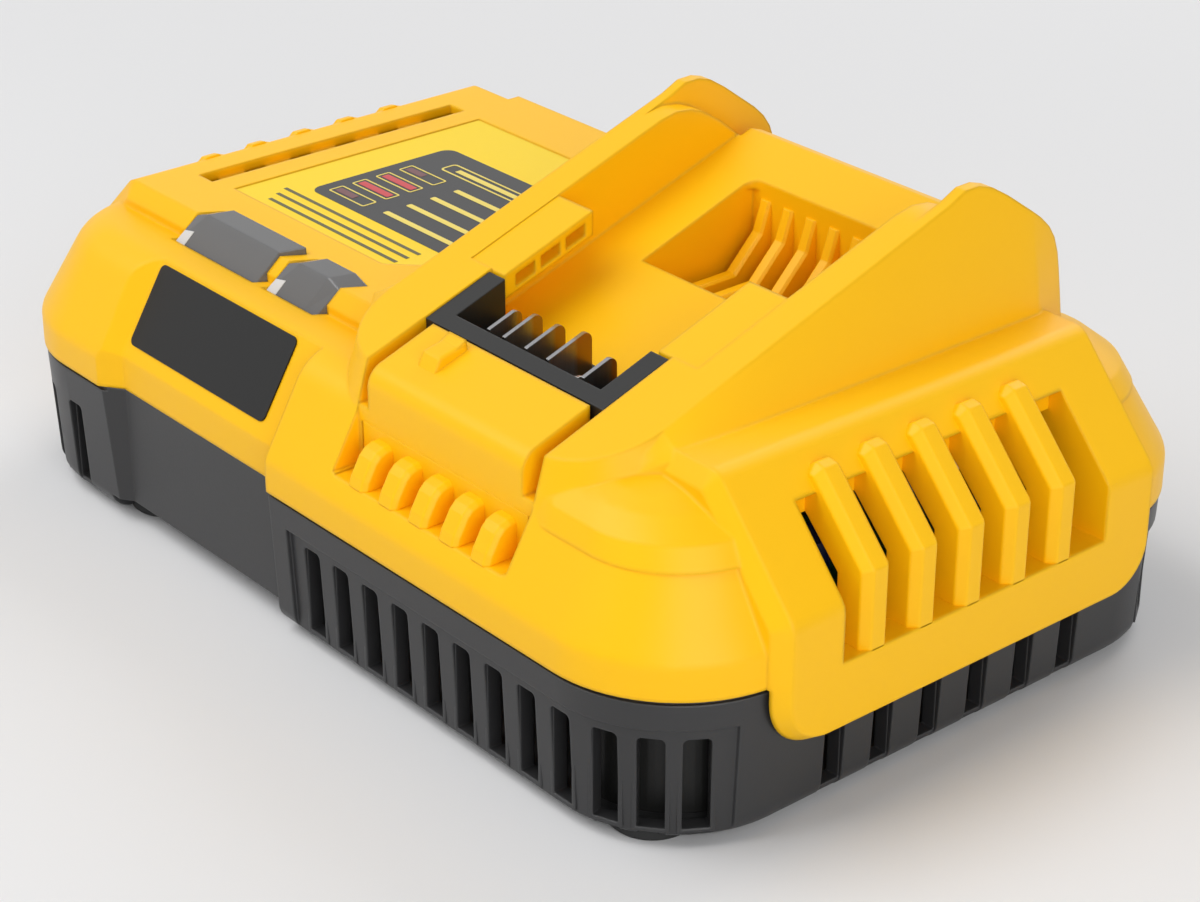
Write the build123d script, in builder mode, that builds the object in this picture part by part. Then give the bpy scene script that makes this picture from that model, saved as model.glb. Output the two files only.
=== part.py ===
"""Power tool battery charger: two-shell housing with a sloping pack bay, fan-cooled.

Millimetres. X runs along the front, Y from front to back, Z up; the origin is under the middle
of the charger, on the plane the feet stand on.
"""
import os
from math import atan2, cos, degrees, radians, sin, tan

from build123d import *

# --- housing outline ---------------------------------------------------------------------
HALF_LENGTH = 120.5          # outer face of the ends at the split line
HALF_WIDTH = 79.7            # outer face of front and back at the split line
CORNER = 31.0                # plan radius of the corners
WALL = 2.6
SPLIT_Z = 31.4               # where the two shells meet
BOTTOM_Z = -1.5              # underside of the tray
FOOT_DROP = 3.0              # the feet reach this far below the datum that heights are measured from
BAND_TOP = 39.0              # top of the upright band of the upper shell
DOME_TOP = 60.5
DOME_TAPER = 30.0            # lean of the slope from upright
ROOF = 3.0                   # thickness of the dome's top
BASE_DRAFT = 2.5
BASE_INSET = 0.4             # the tray sits this far inside the upper shell
FIT = 0.3                    # gap between separate pieces that only locate each other

# --- saddles over the two ends -------------------------------------------------------------
SADDLE_X = 124.5
SADDLE_HALF = 50.6
SADDLE_STEP = 2.6            # run of the bevel at each end of a saddle
SADDLE_RISE = 3.9            # height of that bevel
SADDLE_LIP_Z = 17.5          # the flap hangs down to here over the tray
SADDLE_KNEE_Z = 45.4
ROOF_X, ROOF_Z = 102.9, 69.7           # right: top of the slope, and the roof behind it
PLATEAU_X, PLATEAU_Z = -101.5, 66.4    # left: the same, lower and carried on as a plateau

# --- pack bay --------------------------------------------------------------------------------
BAY_X = 43.5                 # middle of the bay
DECK_SLOPE = 0.34            # rise per millimetre of the plane the pack slides on
ARM_IN = 28.5                # inner faces of the arms beside the stop
CHEEK_IN = 35.6              # inner faces of the cheeks beside the pack
CHEEK_STEP = 40.8            # where the lower inner layer of a cheek ends
CHEEK_OUT = 43.6
FLARE_OUT = 49.5             # foot of the flared outer side
FLOOR_DROP = 16.5            # bay floor below the deck plane
ARM_FRONT = -69.8
STOP_HALF = 25.0
STOP_BACK = -52.8
GAP_FLOOR = 57.0             # floor of the gaps beside the stop
TERMINAL_FRONT, TERMINAL_BACK = -52.2, -35.5
TERMINAL_SEAT = 56.6
TERMINAL_HALF = 28.2
RAIL_FRONT, RAIL_BACK = -34.6, -10.6
RAIL_IN = 24.3
LIP_Y = 44.2                 # rear edge of the bay floor
WELL_HALF, WELL_FRONT, WELL_BACK = 20.0, -0.5, 31.5
WELL_FOOT = 58.0

# --- fan ---------------------------------------------------------------------------------------
FAN_Y = 15.5
FAN_SIZE = 60.0
FAN_TOP, FAN_THICK = 51.0, 15.0
FAN_BORE = 29.0
FAN_PITCH = 25.0             # screw holes from the middle
FAN_POSTS = [(BAY_X + sx * FAN_PITCH, FAN_Y + sy * FAN_PITCH) for sx in (-1, 1) for sy in (-1, 1)]
SHAFT_R = 1.5
SHAFT_PLAY = 0.05

# --- board -------------------------------------------------------------------------------------
BOARD_Z, BOARD_THICK = 8.0, 1.6
BOARD_TOP = BOARD_Z + BOARD_THICK
BOARD_X0, BOARD_X1, BOARD_HALF_Y = -84.0, 84.0, 56.0
BOARD_POSTS = [(-79.0, -49.0), (77.0, -49.0), (-79.0, 49.0), (77.0, 49.0), (6.0, -49.0), (6.0, 49.0)]
HOUSING_POSTS = [(91.0, -46.0), (91.0, 46.0), (-91.0, -46.0), (-91.0, 46.0), (-2.0, -65.0), (-2.0, 65.0)]
SCREW_SEAT = SPLIT_Z - 8.0
FEET = [(99.6, -63.3), (99.6, 63.3), (-72.7, -63.8), (-72.7, 63.8)]
FOOT_R = 9.0
FOOT_TOP = BOTTOM_Z + 1.4


# --- label recess in the front --------------------------------------------------------------------
RECESS_LEFT, RECESS_RIGHT = -74.6, -6.2
RECESS_Y = -75.9
RECESS_SLOPE = 1.642         # rise per millimetre of its upper part
RECESS_KNEE_Z = 39.65
SOLE_RISE = 2.7              # foot of the tray's wall under the recess

# --- cord inlet --------------------------------------------------------------------------------------
INLET_X, INLET_Z = -52.0, 18.0
INLET_BORE = 3.9
INDICATOR_Z, INDICATOR_THICK = 52.0, 1.6
INDICATOR_POSTS = [(-76.0, -57.0), (-18.0, -57.0)]
LEAD_X, LEAD_Y, LEAD_R = 5.0, -43.0, 1.6
INLET_BARREL = 5.6

# --- keyholes for hanging the charger on a wall ---------------------------------------------------
KEYHOLE_X, KEYHOLE_R, KEYHOLE_SLOT, KEYHOLE_RISE = 60.0, 4.75, 2.3, 9.0

LENS_FRONT, LENS_BACK = -54.3, -45.5
LENSES = {"charge_lens": (-75.5, -42.8), "fault_lens": (-38.9, -20.0)}
LENS_SKEW = 5.4

INLET = Plane(origin=(INLET_X, 0, INLET_Z), x_dir=(1, 0, 0), z_dir=(0, 1, 0))

os.makedirs("parts", exist_ok=True)


def deck(y):
    """Height of the plane the pack slides on."""
    return 71.3 + DECK_SLOPE * (y + 52.2)


def floor(y):
    """Height of the bay floor."""
    return deck(y) - FLOOR_DROP


def save(block, name):
    """Lift a finished sub-part so that the feet stand on Z = 0, label it and write its STEP file."""
    placed = block.part.moved(Location((0, 0, FOOT_DROP)))
    placed.label = name
    export_step(placed, f"parts/{name}.step")


def outline(plane, points, soft=()):
    """Closed straight-sided face on a plane; soft lists (corner point, radius) to round off."""
    with BuildSketch(plane) as drawn:
        with BuildLine():
            Polyline(*points, close=True)
        make_face()
        for corner, radius in soft:
            fillet(drawn.sketch_local.vertices().sort_by_distance(Vector(*corner))[0], radius)
    return drawn.sketch


def soft_rectangle(plane, width, height, radius, at=(0, 0)):
    """Rounded rectangle on a plane."""
    with BuildSketch(plane) as drawn:
        with Locations(at):
            RectangleRounded(width, height, radius)
    return drawn.sketch


def bar_x(points, x0, x1, mode=Mode.ADD):
    """Prism along X from a (y, z) outline."""
    extrude(outline(Plane.YZ.offset(x0), points), amount=x1 - x0, mode=mode)


def bar_y(points, y0, y1, mode=Mode.ADD):
    """Prism along Y from an (x, z) outline."""
    extrude(outline(Plane.XZ.offset(-y0), points), amount=-(y1 - y0), mode=mode)


def bar_z(points, z0, z1, mode=Mode.ADD):
    """Prism along Z from an (x, y) outline."""
    extrude(outline(Plane.XY.offset(z0), points), amount=z1 - z0, mode=mode)


def block(x0, x1, y0, y1, z0, z1, mode=Mode.ADD):
    """Box between two corners."""
    bar_z([(x0, y0), (x1, y0), (x1, y1), (x0, y1)], z0, z1, mode)


def disc(x, y, radius, z0, z1, mode=Mode.ADD):
    """Upright cylinder."""
    with BuildSketch(Plane.XY.offset(z0)) as drawn:
        with Locations((x, y)):
            Circle(radius)
    extrude(drawn.sketch, amount=z1 - z0, mode=mode)


def rounded(half_x, half_y, radius, z, height, taper=0.0, mode=Mode.ADD):
    """Rounded rectangle about the origin, drawn at z and extruded up."""
    drawn = soft_rectangle(Plane.XY.offset(z), 2 * half_x, 2 * half_y, radius)
    extrude(drawn, amount=height, taper=taper, mode=mode)


def bay_sides():
    """The two sides of the bay: -1 left, +1 right."""
    return (-1, 1)


def side_x(side, offset):
    """X of a point measured outwards from the middle of the bay."""
    return BAY_X + side * offset


# --- upper shell: outside ---------------------------------------------------------------------------
def dome():
    """Upright band, sloped sides and a flat top, with soft edges."""
    rounded(HALF_LENGTH, HALF_WIDTH, CORNER, SPLIT_Z, BAND_TOP - SPLIT_Z)
    rounded(HALF_LENGTH, HALF_WIDTH, CORNER, BAND_TOP, DOME_TOP - BAND_TOP, DOME_TAPER)


def shoulder():
    """Crown between the dome and the right arm, rising in steps of falling slope."""
    levels = [(54.0, 112.6, 71.4, 23.0), (58.5, 109.9, 69.6, 22.0), (61.6, 105.2, 66.3, 20.0),
              (64.0, 99.6, 61.5, 18.0), (66.2, 91.0, 53.0, 15.0)]
    rings = [soft_rectangle(Plane.XY.offset(z), x - 56.0, 2 * y, r, ((x + 56.0) / 2, 0)).face()
             for z, x, y, r in levels]
    for low, high in zip(rings, rings[1:]):
        loft([low, high], ruled=True)


def saddle(points, side):
    """One end cap, drawn on the right: a profile run across with bevelled ends, soft lower corners."""
    knee, crown = points[2], points[3]
    soft = [(knee, 5.0), (crown, 5.0)]
    extrude(outline(Plane.XZ, points, soft), amount=SADDLE_HALF)
    bevel = degrees(atan2(SADDLE_RISE, SADDLE_STEP))
    extrude(outline(Plane.XZ.offset(SADDLE_HALF), points, soft), amount=SADDLE_STEP, taper=bevel)
    mirror(about=Plane.XZ)
    height, foot = 90.0, SADDLE_LIP_Z - 1.2
    with BuildPart(mode=Mode.PRIVATE) as shape:
        at = (0, foot + height / 2)
        extrude(soft_rectangle(Plane.YZ, 2 * (SADDLE_HALF + SADDLE_STEP), height, 12.5, at),
                amount=SADDLE_X - SADDLE_RISE)
        extrude(soft_rectangle(Plane.YZ.offset(SADDLE_X - SADDLE_RISE), 2 * (SADDLE_HALF + SADDLE_STEP),
                               height, 12.5, at), amount=SADDLE_RISE + 0.01, taper=90 - bevel)
    add(shape.part, mode=Mode.INTERSECT)
    block(0, 120.8, -60, 60, 0, SPLIT_Z, Mode.SUBTRACT)
    block(100, 140, -60, 60, 0, SADDLE_LIP_Z - 0.6, Mode.SUBTRACT)
    if side < 0:
        mirror(about=Plane.YZ, mode=Mode.REPLACE)


with BuildPart() as right_saddle:
    saddle([(72.0, 10.0), (SADDLE_X, 10.0), (SADDLE_X, SADDLE_KNEE_Z), (ROOF_X, ROOF_Z), (72.0, ROOF_Z)], 1)

with BuildPart() as left_saddle:
    saddle([(0.5, 10.0), (SADDLE_X, 10.0), (SADDLE_X, SADDLE_KNEE_Z), (-PLATEAU_X, PLATEAU_Z),
            (0.5, PLATEAU_Z)], -1)


def cheek_outline(front, back, crest):
    """Outline in y, z of a cheek: a foot in front, the deck plane, a crest and a falling back."""
    return [(front, 50.0), (front, deck(front) - 3.5), (front + 1.0, deck(front) - 1.2),
            (front + 3.0, deck(front + 3.0))] + crest + [(back, 50.0)]


OUTER_CREST = [(25.5, deck(25.5)), (30.0, deck(30.0) + 0.6), (34.0, 99.9), (37.5, 98.8), (41.5, 96.3),
               (51.0, 89.3), (54.0, 86.5), (56.0, 83.6), (57.4, 79.8), (58.1, 76.0), (60.2, 62.8)]
INNER_CREST = [(18.0, deck(18.0)), (23.0, deck(18.0) + 1.0), (27.5, 95.6), (31.0, 94.2), (36.0, 91.0),
               (43.0, 85.0), (46.5, 80.0), (48.0, 60.0)]


def arm(side):
    """One arm of the bay: upright core, and a side that flares out to a straight crease."""
    x0, x1 = sorted((side_x(side, 0), side_x(side, CHEEK_OUT)))
    block(x0, x1, -50.0, 60.2, 54.0, 114.0)
    flare = [(-64.0, 36.5, 62.0), (-57.0, 43.5, 64.5), (-50.0, FLARE_OUT, 68.9), (48.0, FLARE_OUT, ROOF_Z),
             (60.0, 45.6, 64.0)]
    sections = []
    for y, reach, z in flare:
        ring = [(30.0, 54.0), (reach, 54.0), (reach, z), (min(CHEEK_OUT, reach - 2.0), deck(y)), (30.0, deck(y))]
        sections.append(outline(Plane.XZ.offset(-y), [(side_x(side, u), v) for u, v in ring]).face())
    for front, back in zip(sections, sections[1:]):
        loft([front, back], ruled=True)


def nose(side):
    """Rounded front of an arm, spreading from the deck plane down to the dome."""
    tilt = Plane(origin=(BAY_X, 0, deck(0)), x_dir=(1, 0, 0), z_dir=(0, -DECK_SLOPE, 1.0))
    stretch = (1 + DECK_SLOPE ** 2) ** 0.5
    foot = soft_rectangle(Plane.XY.offset(55.0), 48.0, 98.2, 22.0, (side_x(side, 24.0), -21.5))
    brow = soft_rectangle(tilt, CHEEK_OUT, 91.6 * stretch, 18.0, (side * CHEEK_OUT / 2, -21.5 * stretch))
    loft([foot.face(), brow.face()], ruled=True)


with BuildPart() as arms:
    for side in bay_sides():
        arm(side)
        nose(side)
    block(BAY_X - 25, BAY_X + 25, -69.0, 60.0, 54.0, 120.0)
    extrude(outline(Plane.YZ.offset(-30), cheek_outline(-72.5, 60.2, OUTER_CREST)),
            amount=160.0, mode=Mode.INTERSECT)


# --- upper shell: what is cut away outside ------------------------------------------------------------
REAR_ROLL = [(LIP_Y, floor(LIP_Y)), (47.5, 86.4), (51.0, 83.0), (54.0, 77.0), (56.5, 69.0), (58.0, 60.5)]
REAR_ROLL_INSIDE = [(42.0, floor(42.0) - 2.8), (45.8, 83.2), (48.7, 80.6), (51.2, 75.5), (53.6, 68.0),
                    (55.0, 57.5)]

with BuildPart() as pack_space:
    bar_x([(RAIL_FRONT, floor(RAIL_FRONT))] + REAR_ROLL + [(80.0, 60.5), (80.0, 130.0), (RAIL_FRONT, 130.0)],
          BAY_X - CHEEK_IN, BAY_X + CHEEK_IN)
    block(BAY_X - ARM_IN, BAY_X + ARM_IN, -95.0, RAIL_FRONT, GAP_FLOOR, 130.0)
    block(BAY_X - TERMINAL_HALF - FIT, BAY_X + TERMINAL_HALF + FIT,
          TERMINAL_FRONT - FIT, TERMINAL_BACK + FIT, TERMINAL_SEAT, 90.0)
    for side in bay_sides():
        x0, x1 = sorted((side_x(side, CHEEK_IN - 1), side_x(side, CHEEK_STEP)))
        bar_x(INNER_CREST + [(80.0, 60.0), (80.0, 130.0), (18.0, 130.0)], x0, x1)

with BuildPart() as front_vent_space:
    block(BAY_X - ARM_IN, BAY_X + ARM_IN, -95.0, ARM_FRONT, 43.7, 75.0)


def recess_cutter(top_z, back_y, low_y, low_z):
    """Body that sinks the label field: upright below the knee, sloped above, one end bevelled."""
    reach, run = 12.0, 17.0
    right, left = RECESS_RIGHT, RECESS_LEFT + 6.0
    tilt = Plane(origin=(0, low_y, low_z), x_dir=(1, 0, 0), z_dir=(0, -(back_y[1]), back_y[0]))
    near = outline(tilt, [(left, 0), (right, 0), (right, top_z), (left, top_z)])
    far = outline(tilt.offset(reach), [(left - run, 0), (right, 0), (right, top_z), (left - run, top_z)])
    loft([near.face(), far.face()], ruled=True)


with BuildPart() as recess_space:
    recess_cutter(24.0, (0.0, 1.0), RECESS_Y, 20.0)
    recess_cutter(34.0, (1.0, RECESS_SLOPE), RECESS_Y - 2.0 / RECESS_SLOPE, RECESS_KNEE_Z - 2.0)


# --- upper shell: the hollow inside ------------------------------------------------------------------
def hollow():
    """Inside of the dome, the saddles, the arms and the space under the bay floor."""
    inner = (HALF_LENGTH - WALL, HALF_WIDTH - WALL, CORNER - WALL)
    rounded(*inner, SPLIT_Z - 1, BAND_TOP - 0.8 - SPLIT_Z + 1)
    rounded(*inner, BAND_TOP - 0.8, DOME_TOP - ROOF - BAND_TOP + 0.8, DOME_TAPER)
    cheek_wall = CHEEK_IN + WALL
    bar_y([(121.0, 40.0), (121.0, 45.1), (101.7, 66.8), (side_x(1, cheek_wall), 66.8),
           (side_x(1, cheek_wall), 50.0), (90.0, 50.0), (110.0, 40.0)], -47.8, 47.8)
    bar_y([(-121.0, 40.0), (-121.0, 44.8), (-100.1, 63.8), (side_x(-1, cheek_wall), 63.8),
           (side_x(-1, cheek_wall), 50.0), (-90.0, 50.0), (-110.0, 40.0)], -46.5, 47.8)
    block(-85.0, side_x(-1, cheek_wall), 40.0, 52.0, 55.0, 63.8)
    block(82.0, 100.0, -58.0, 58.0, 55.0, 60.8)
    for side in bay_sides():
        x0, x1 = sorted((side_x(side, 31.3), side_x(side, 40.0)))
        bar_x([(-56.0, 50.0), (-56.0, deck(-56.0) - 4), (-37.5, deck(-37.5) - 3.5), (-37.5, 50.0)], x0, x1)
    bar_x([(-33.0, 50.0), (-33.0, floor(-33.0) - 2.8)] + REAR_ROLL_INSIDE + [(55.0, 50.0)],
          BAY_X - 33.0, BAY_X + 33.0)


def kept_inside():
    """Walls, seats, posts and the vent skirt that stand in the hollow."""
    bar_x([(-85.0, 41.2), (-67.2, 41.2), (-67.2, 53.8), (-36.5, 53.8), (-33.0, 57.5), (-33.0, 80.0),
           (-85.0, 80.0)], BAY_X - 31.3, BAY_X + 31.3)
    top_y = RECESS_Y + (62.0 - RECESS_KNEE_Z) / RECESS_SLOPE
    bar_x([(-85.0, 25.0), (RECESS_Y + WALL, 25.0), (RECESS_Y + WALL, RECESS_KNEE_Z - 0.8),
           (top_y + WALL + 0.4, 62.0), (-85.0, 62.0)], RECESS_LEFT - 8.0, RECESS_RIGHT + WALL)
    block(108.0, 125.0, -40.0, 40.0, 29.0, 33.0)
    block(-125.0, -108.0, -40.0, 40.0, 29.0, 33.0)
    block(BAY_X - WELL_HALF - 2, BAY_X + WELL_HALF + 2, WELL_FRONT - 2, WELL_BACK + 2, WELL_FOOT, 90.0)
    for x, y in HOUSING_POSTS:
        disc(x, y, 4.0, SPLIT_Z - 2, 70.0)
    for x, y in INDICATOR_POSTS:
        disc(x, y, 3.2, INDICATOR_Z + INDICATOR_THICK, 70.0)
    for x, y in FAN_POSTS:
        disc(x, y, 3.4, FAN_TOP, 95.0)


with BuildPart() as cavity:
    hollow()
    with BuildPart(mode=Mode.PRIVATE) as kept:
        kept_inside()
    add(kept.part, mode=Mode.SUBTRACT)


# --- lenses and labels ---------------------------------------------------------------------------------
LABEL_SINK, LABEL_THICK = 0.6, 0.4
TOP_LABEL = [(-80.5, -35.8), (-22.4, -35.8), (-15.8, -29.2), (-11.5, -18.0), (-11.5, 36.2), (-80.5, 36.2)]


def lens_plan(x0, x1, gap):
    """Skewed plan of a lens, widened by a gap at each end."""
    return [(x0 - gap, LENS_FRONT), (x1 + gap, LENS_FRONT), (x1 + LENS_SKEW + gap, LENS_BACK),
            (x0 + LENS_SKEW - gap, LENS_BACK)]


def lens_space(x0, x1):
    """Seat and light window of one lens in the step between dome and plateau."""
    with BuildPart(mode=Mode.PRIVATE) as space:
        bar_x([(-56.0, 59.2), (-52.4, 58.5), (-48.4, 64.2), (LENS_BACK + 0.1, 64.8), (LENS_BACK + 0.1, 70.0),
               (-56.0, 70.0)], x0 - 10, x1 + 15)
        wide = [(x + (LENS_SKEW / (LENS_BACK - LENS_FRONT)) * (-2 if y == LENS_FRONT else 0.5),
                 y + (-2 if y == LENS_FRONT else 0.5)) for x, y in lens_plan(x0, x1, 0.15)]
        extrude(outline(Plane.XY.offset(50), wide), amount=25.0, mode=Mode.INTERSECT)
        block(x0 + 4.0, x1 + 1.5, -51.0, -47.2, 55.0, 65.0)
    add(space.part, mode=Mode.SUBTRACT)


LIP_HEIGHT, LIP_THICK, LIP_SET = 1.8, 1.1, 1.4


def lip_ring(set_in, thick, z0, z1, spare):
    """Locating ring between the shells, left out at the recess, the end vents and the cord inlet."""
    with BuildPart(mode=Mode.PRIVATE) as ring:
        outer = (HALF_LENGTH - set_in, HALF_WIDTH - set_in, CORNER - set_in)
        rounded(*outer, z0, z1 - z0)
        rounded(*(v - thick for v in outer), z0, z1 - z0, mode=Mode.SUBTRACT)
        block(RECESS_LEFT - 12 + spare, RECESS_RIGHT + 6 - spare, -90, -60, 20, 40, Mode.SUBTRACT)
        for end in (-1, 1):
            x0, x1 = sorted((end * 100, end * 130))
            block(x0, x1, -44 + spare, 44 - spare, 20, 40, Mode.SUBTRACT)
        block(INLET_X - 14 + spare, INLET_X + 14 - spare, 60, 90, 20, 40, Mode.SUBTRACT)
    return ring.part


def lip_groove():
    """Rebate in the upper shell that takes the ring."""
    add(lip_ring(LIP_SET - 0.15, 3.0, SPLIT_Z - 1, SPLIT_Z + LIP_HEIGHT + 0.3, 0.3), mode=Mode.SUBTRACT)


# --- vent fins ----------------------------------------------------------------------------------------
FIN_PITCH, FIN_WIDE, FIN_FIRST = 13.15, 7.2, -28.3
VENT_Y0, VENT_Y1, VENT_Z0, VENT_Z1 = -37.4, 37.0, 33.0, 61.7
RIGHT_FIN = [(SADDLE_X, 32.5), (SADDLE_X, 50.8), (110.4, 63.6), (107.8, 65.4), (104.6, 65.6), (101.6, 60.8),
             (116.3, 47.2), (116.3, 32.5)]
LEFT_FIN = [(-SADDLE_X, 32.5), (-SADDLE_X, 47.0), (-105.4, 64.3), (-102.0, 66.2), (-86.0, 65.9),
            (-86.0, 62.8), (-100.0, 62.0), (-116.3, 45.2), (-116.3, 32.5)]


def fins(points, outer_edges):
    """Row of upright fins across an end vent, their outer edges bevelled."""
    for index in range(5):
        y = FIN_FIRST + index * FIN_PITCH
        with BuildPart() as fin:
            bar_y(points, y - FIN_WIDE / 2, y + FIN_WIDE / 2)
            rims = [fin.edges().sort_by_distance(Vector(x, y + end * FIN_WIDE / 2, z))[0]
                    for x, z in outer_edges for end in (-1, 1)]
            chamfer(rims, 2.0)
        add(fin.part)


with BuildPart() as upper_housing:
    dome()
    rim = upper_housing.edges().filter_by(lambda e: abs(e.center().Z - DOME_TOP) < 0.01)
    fillet(rim, 11.0)
    knee = upper_housing.edges().filter_by(lambda e: abs(e.center().Z - BAND_TOP) < 0.01)
    fillet(knee, 5.0)
    shoulder()
    add(left_saddle.part)
    add(right_saddle.part)
    bar_x([(45.0, 50.0), (45.0, PLATEAU_Z), (54.0, PLATEAU_Z), (58.0, 60.0), (58.0, 50.0)], -87.0, -0.5)
    add(arms.part)
    add(pack_space.part, mode=Mode.SUBTRACT)
    add(front_vent_space.part, mode=Mode.SUBTRACT)
    add(recess_space.part, mode=Mode.SUBTRACT)
    add(cavity.part, mode=Mode.SUBTRACT)
    block(98.0, 130.0, VENT_Y0, VENT_Y1, VENT_Z0, VENT_Z1, Mode.SUBTRACT)
    block(-130.0, -102.5, VENT_Y0, VENT_Y1, VENT_Z0, 61.7, Mode.SUBTRACT)
    block(-93.2, -87.5, VENT_Y0, VENT_Y1, 60.0, 70.0, Mode.SUBTRACT)
    fins(RIGHT_FIN, [(SADDLE_X, 41.6), (117.4, 57.2)])
    fins(LEFT_FIN, [(-SADDLE_X, 40.4), (-115.1, 56.8)])
    # stop in front of the terminals, with its wedge-shaped key
    bar_x([(ARM_FRONT, 50.0), (ARM_FRONT, deck(ARM_FRONT)), (STOP_BACK, deck(STOP_BACK)), (STOP_BACK, 50.0)],
          BAY_X - STOP_HALF, BAY_X + STOP_HALF)
    brow = upper_housing.edges().sort_by_distance(Vector(BAY_X, ARM_FRONT, deck(ARM_FRONT)))[0]
    fillet(brow, 5.0)
    bar_x([(-62.5, deck(-62.5) - 1), (-61.7, deck(-61.7) + 1.0), (-54.6, deck(-54.6) + 2.2),
           (-54.2, deck(-54.2) - 1)], BAY_X - 17.0, BAY_X - 11.5)
    # rails the pack's grooves run on
    for side in bay_sides():
        x0, x1 = sorted((side_x(side, RAIL_IN), side_x(side, CHEEK_IN + 0.5)))
        bar_x([(RAIL_FRONT, deck(RAIL_FRONT) - 5.8), (RAIL_FRONT, deck(RAIL_FRONT) - 0.3),
               (RAIL_BACK, deck(RAIL_BACK) - 0.3), (RAIL_BACK, deck(RAIL_BACK) - 5.8)], x0, x1)
    for index in range(3):
        y = -31.6 + index * 6.8
        bar_x([(y, deck(y) - 4.7), (y, deck(y) - 1.9), (y + 5.2, deck(y + 5.2) - 1.9),
               (y + 5.2, deck(y + 5.2) - 4.7)], side_x(-1, RAIL_IN + 4), side_x(-1, RAIL_IN - 1), Mode.SUBTRACT)
    # vent in the bay floor, over the fan
    well = soft_rectangle(Plane.XY.offset(WELL_FOOT - 4), 2 * WELL_HALF, WELL_BACK - WELL_FRONT, 3.0,
                          (BAY_X, (WELL_FRONT + WELL_BACK) / 2))
    extrude(well, amount=60.0, mode=Mode.SUBTRACT)
    for index in range(-2, 3):
        x = BAY_X + 8.0 * index
        bar_x([(WELL_FRONT - 1, 64.0), (11.6, 64.1), (22.2, 65.3), (29.4, 72.0), (WELL_BACK + 1, 79.5),
               (WELL_BACK + 1, 70.0), (25.0, 60.5), (20.5, 59.0), (WELL_FRONT - 1, 59.0)], x - 1.3, x + 1.3)
    # small vent under the stop
    for index in range(6):
        x = BAY_X + 10.1 * (index - 2.5)
        block(x - 2.4, x + 2.4, ARM_FRONT - 2, -66.0, 44.6, 53.2, Mode.SUBTRACT)
    for index in range(5):
        x = BAY_X + 10.1 * (index - 2)
        bar_x([(ARM_FRONT + 0.5, 43.2), (-76.6, 43.2), (-75.6, 48.0), (-74.3, 51.6), (-72.3, 54.4),
               (-70.5, 55.7), (ARM_FRONT + 0.5, 56.0)], x - 2.0, x + 2.0)
    # places for the lenses, the top label and the screws from below
    for x0, x1 in LENSES.values():
        lens_space(x0, x1)
    extrude(outline(Plane.XY.offset(PLATEAU_Z - LABEL_SINK), TOP_LABEL), amount=3.0, mode=Mode.SUBTRACT)
    for x, y in HOUSING_POSTS:
        disc(x, y, 1.3, SPLIT_Z - 1, SPLIT_Z + 12.0, Mode.SUBTRACT)
    for x, y in FAN_POSTS:
        disc(x, y, 1.2, FAN_TOP - 1, FAN_TOP + 7.5, Mode.SUBTRACT)
    for x, y in INDICATOR_POSTS:
        disc(x, y, 1.05, INDICATOR_Z, INDICATOR_Z + 5.5, Mode.SUBTRACT)
    for side in bay_sides():
        disc(BAY_X + side * LEAD_X, LEAD_Y, LEAD_R + 0.5, 50.0, 60.0, Mode.SUBTRACT)
    lip_groove()
save(upper_housing, "upper_housing")


# --- lower shell ---------------------------------------------------------------------------------------
BASE_X, BASE_Y, BASE_R = HALF_LENGTH - BASE_INSET, HALF_WIDTH - BASE_INSET, CORNER - BASE_INSET
TRAY_FLOOR = BOTTOM_Z + WALL
SLOT_TOP, SLOT_WIDE = 22.1, 5.6


def drafted(set_in, z0, z1, mode=Mode.ADD):
    """Rounded rectangle leaning out upwards with the tray's draft."""
    lean = (SPLIT_Z - z0) * tan(radians(BASE_DRAFT)) + set_in
    rounded(BASE_X - lean, BASE_Y - lean, BASE_R - lean, z0, z1 - z0, -BASE_DRAFT, mode)


def slot(x, y, angle, depth=4.2):
    """Upright slot through the tray's wall and out of its bottom edge, facing the given way."""
    facing = Plane(origin=(x, y, 0), x_dir=(-sin(radians(angle)), cos(radians(angle)), 0),
                   z_dir=(cos(radians(angle)), sin(radians(angle)), 0))
    face = soft_rectangle(facing.offset(-depth), SLOT_WIDE, 2 * SLOT_TOP, 1.2, (0, 0))
    extrude(face, amount=depth + 4.0, mode=Mode.SUBTRACT)


def corner_slots(sx, sy, angles):
    """Slots fanned round one corner of the tray."""
    cx, cy = sx * (BASE_X - BASE_R), sy * (BASE_Y - BASE_R)
    for angle in angles:
        a = radians(angle)
        slot(cx + sx * cos(a) * BASE_R, cy + sy * sin(a) * BASE_R, degrees(atan2(sy * sin(a), sx * cos(a))))


def tray_slots():
    """All the slots round the tray."""
    for index in range(9):
        for sy in (-1, 1):
            slot(7.2 + 10.25 * index, sy * BASE_Y, 90 * sy)
    for sx in (-1, 1):
        for sy in (-1, 1):
            corner_slots(sx, sy, (33.0, 50.5, 69.0))
        for y in (-33.6, -20.3, -6.7, 6.9, 20.5, 34.1):
            slot(sx * BASE_X, y, 0 if sx > 0 else 180)
    for sy in (-1, 1):
        slot(-87.0, sy * BASE_Y, 90 * sy)


def post(x, y, radius, top, hole):
    """Hollow round post standing on the tray's floor."""
    disc(x, y, radius, TRAY_FLOOR - 0.5, top)
    disc(x, y, hole, TRAY_FLOOR + 1.0, top + 1, Mode.SUBTRACT)


with BuildPart() as tray_cavity:
    drafted(WALL, TRAY_FLOOR, SPLIT_Z + 0.5)
    bar_x([(-90.0, 0.0), (RECESS_Y + WALL + 3.0, 0.0), (RECESS_Y + WALL + 1.2, 4.0),
           (RECESS_Y + WALL, SPLIT_Z + 2), (-90.0, SPLIT_Z + 2)],
          RECESS_LEFT - 8.0, RECESS_RIGHT + WALL, Mode.SUBTRACT)

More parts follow.
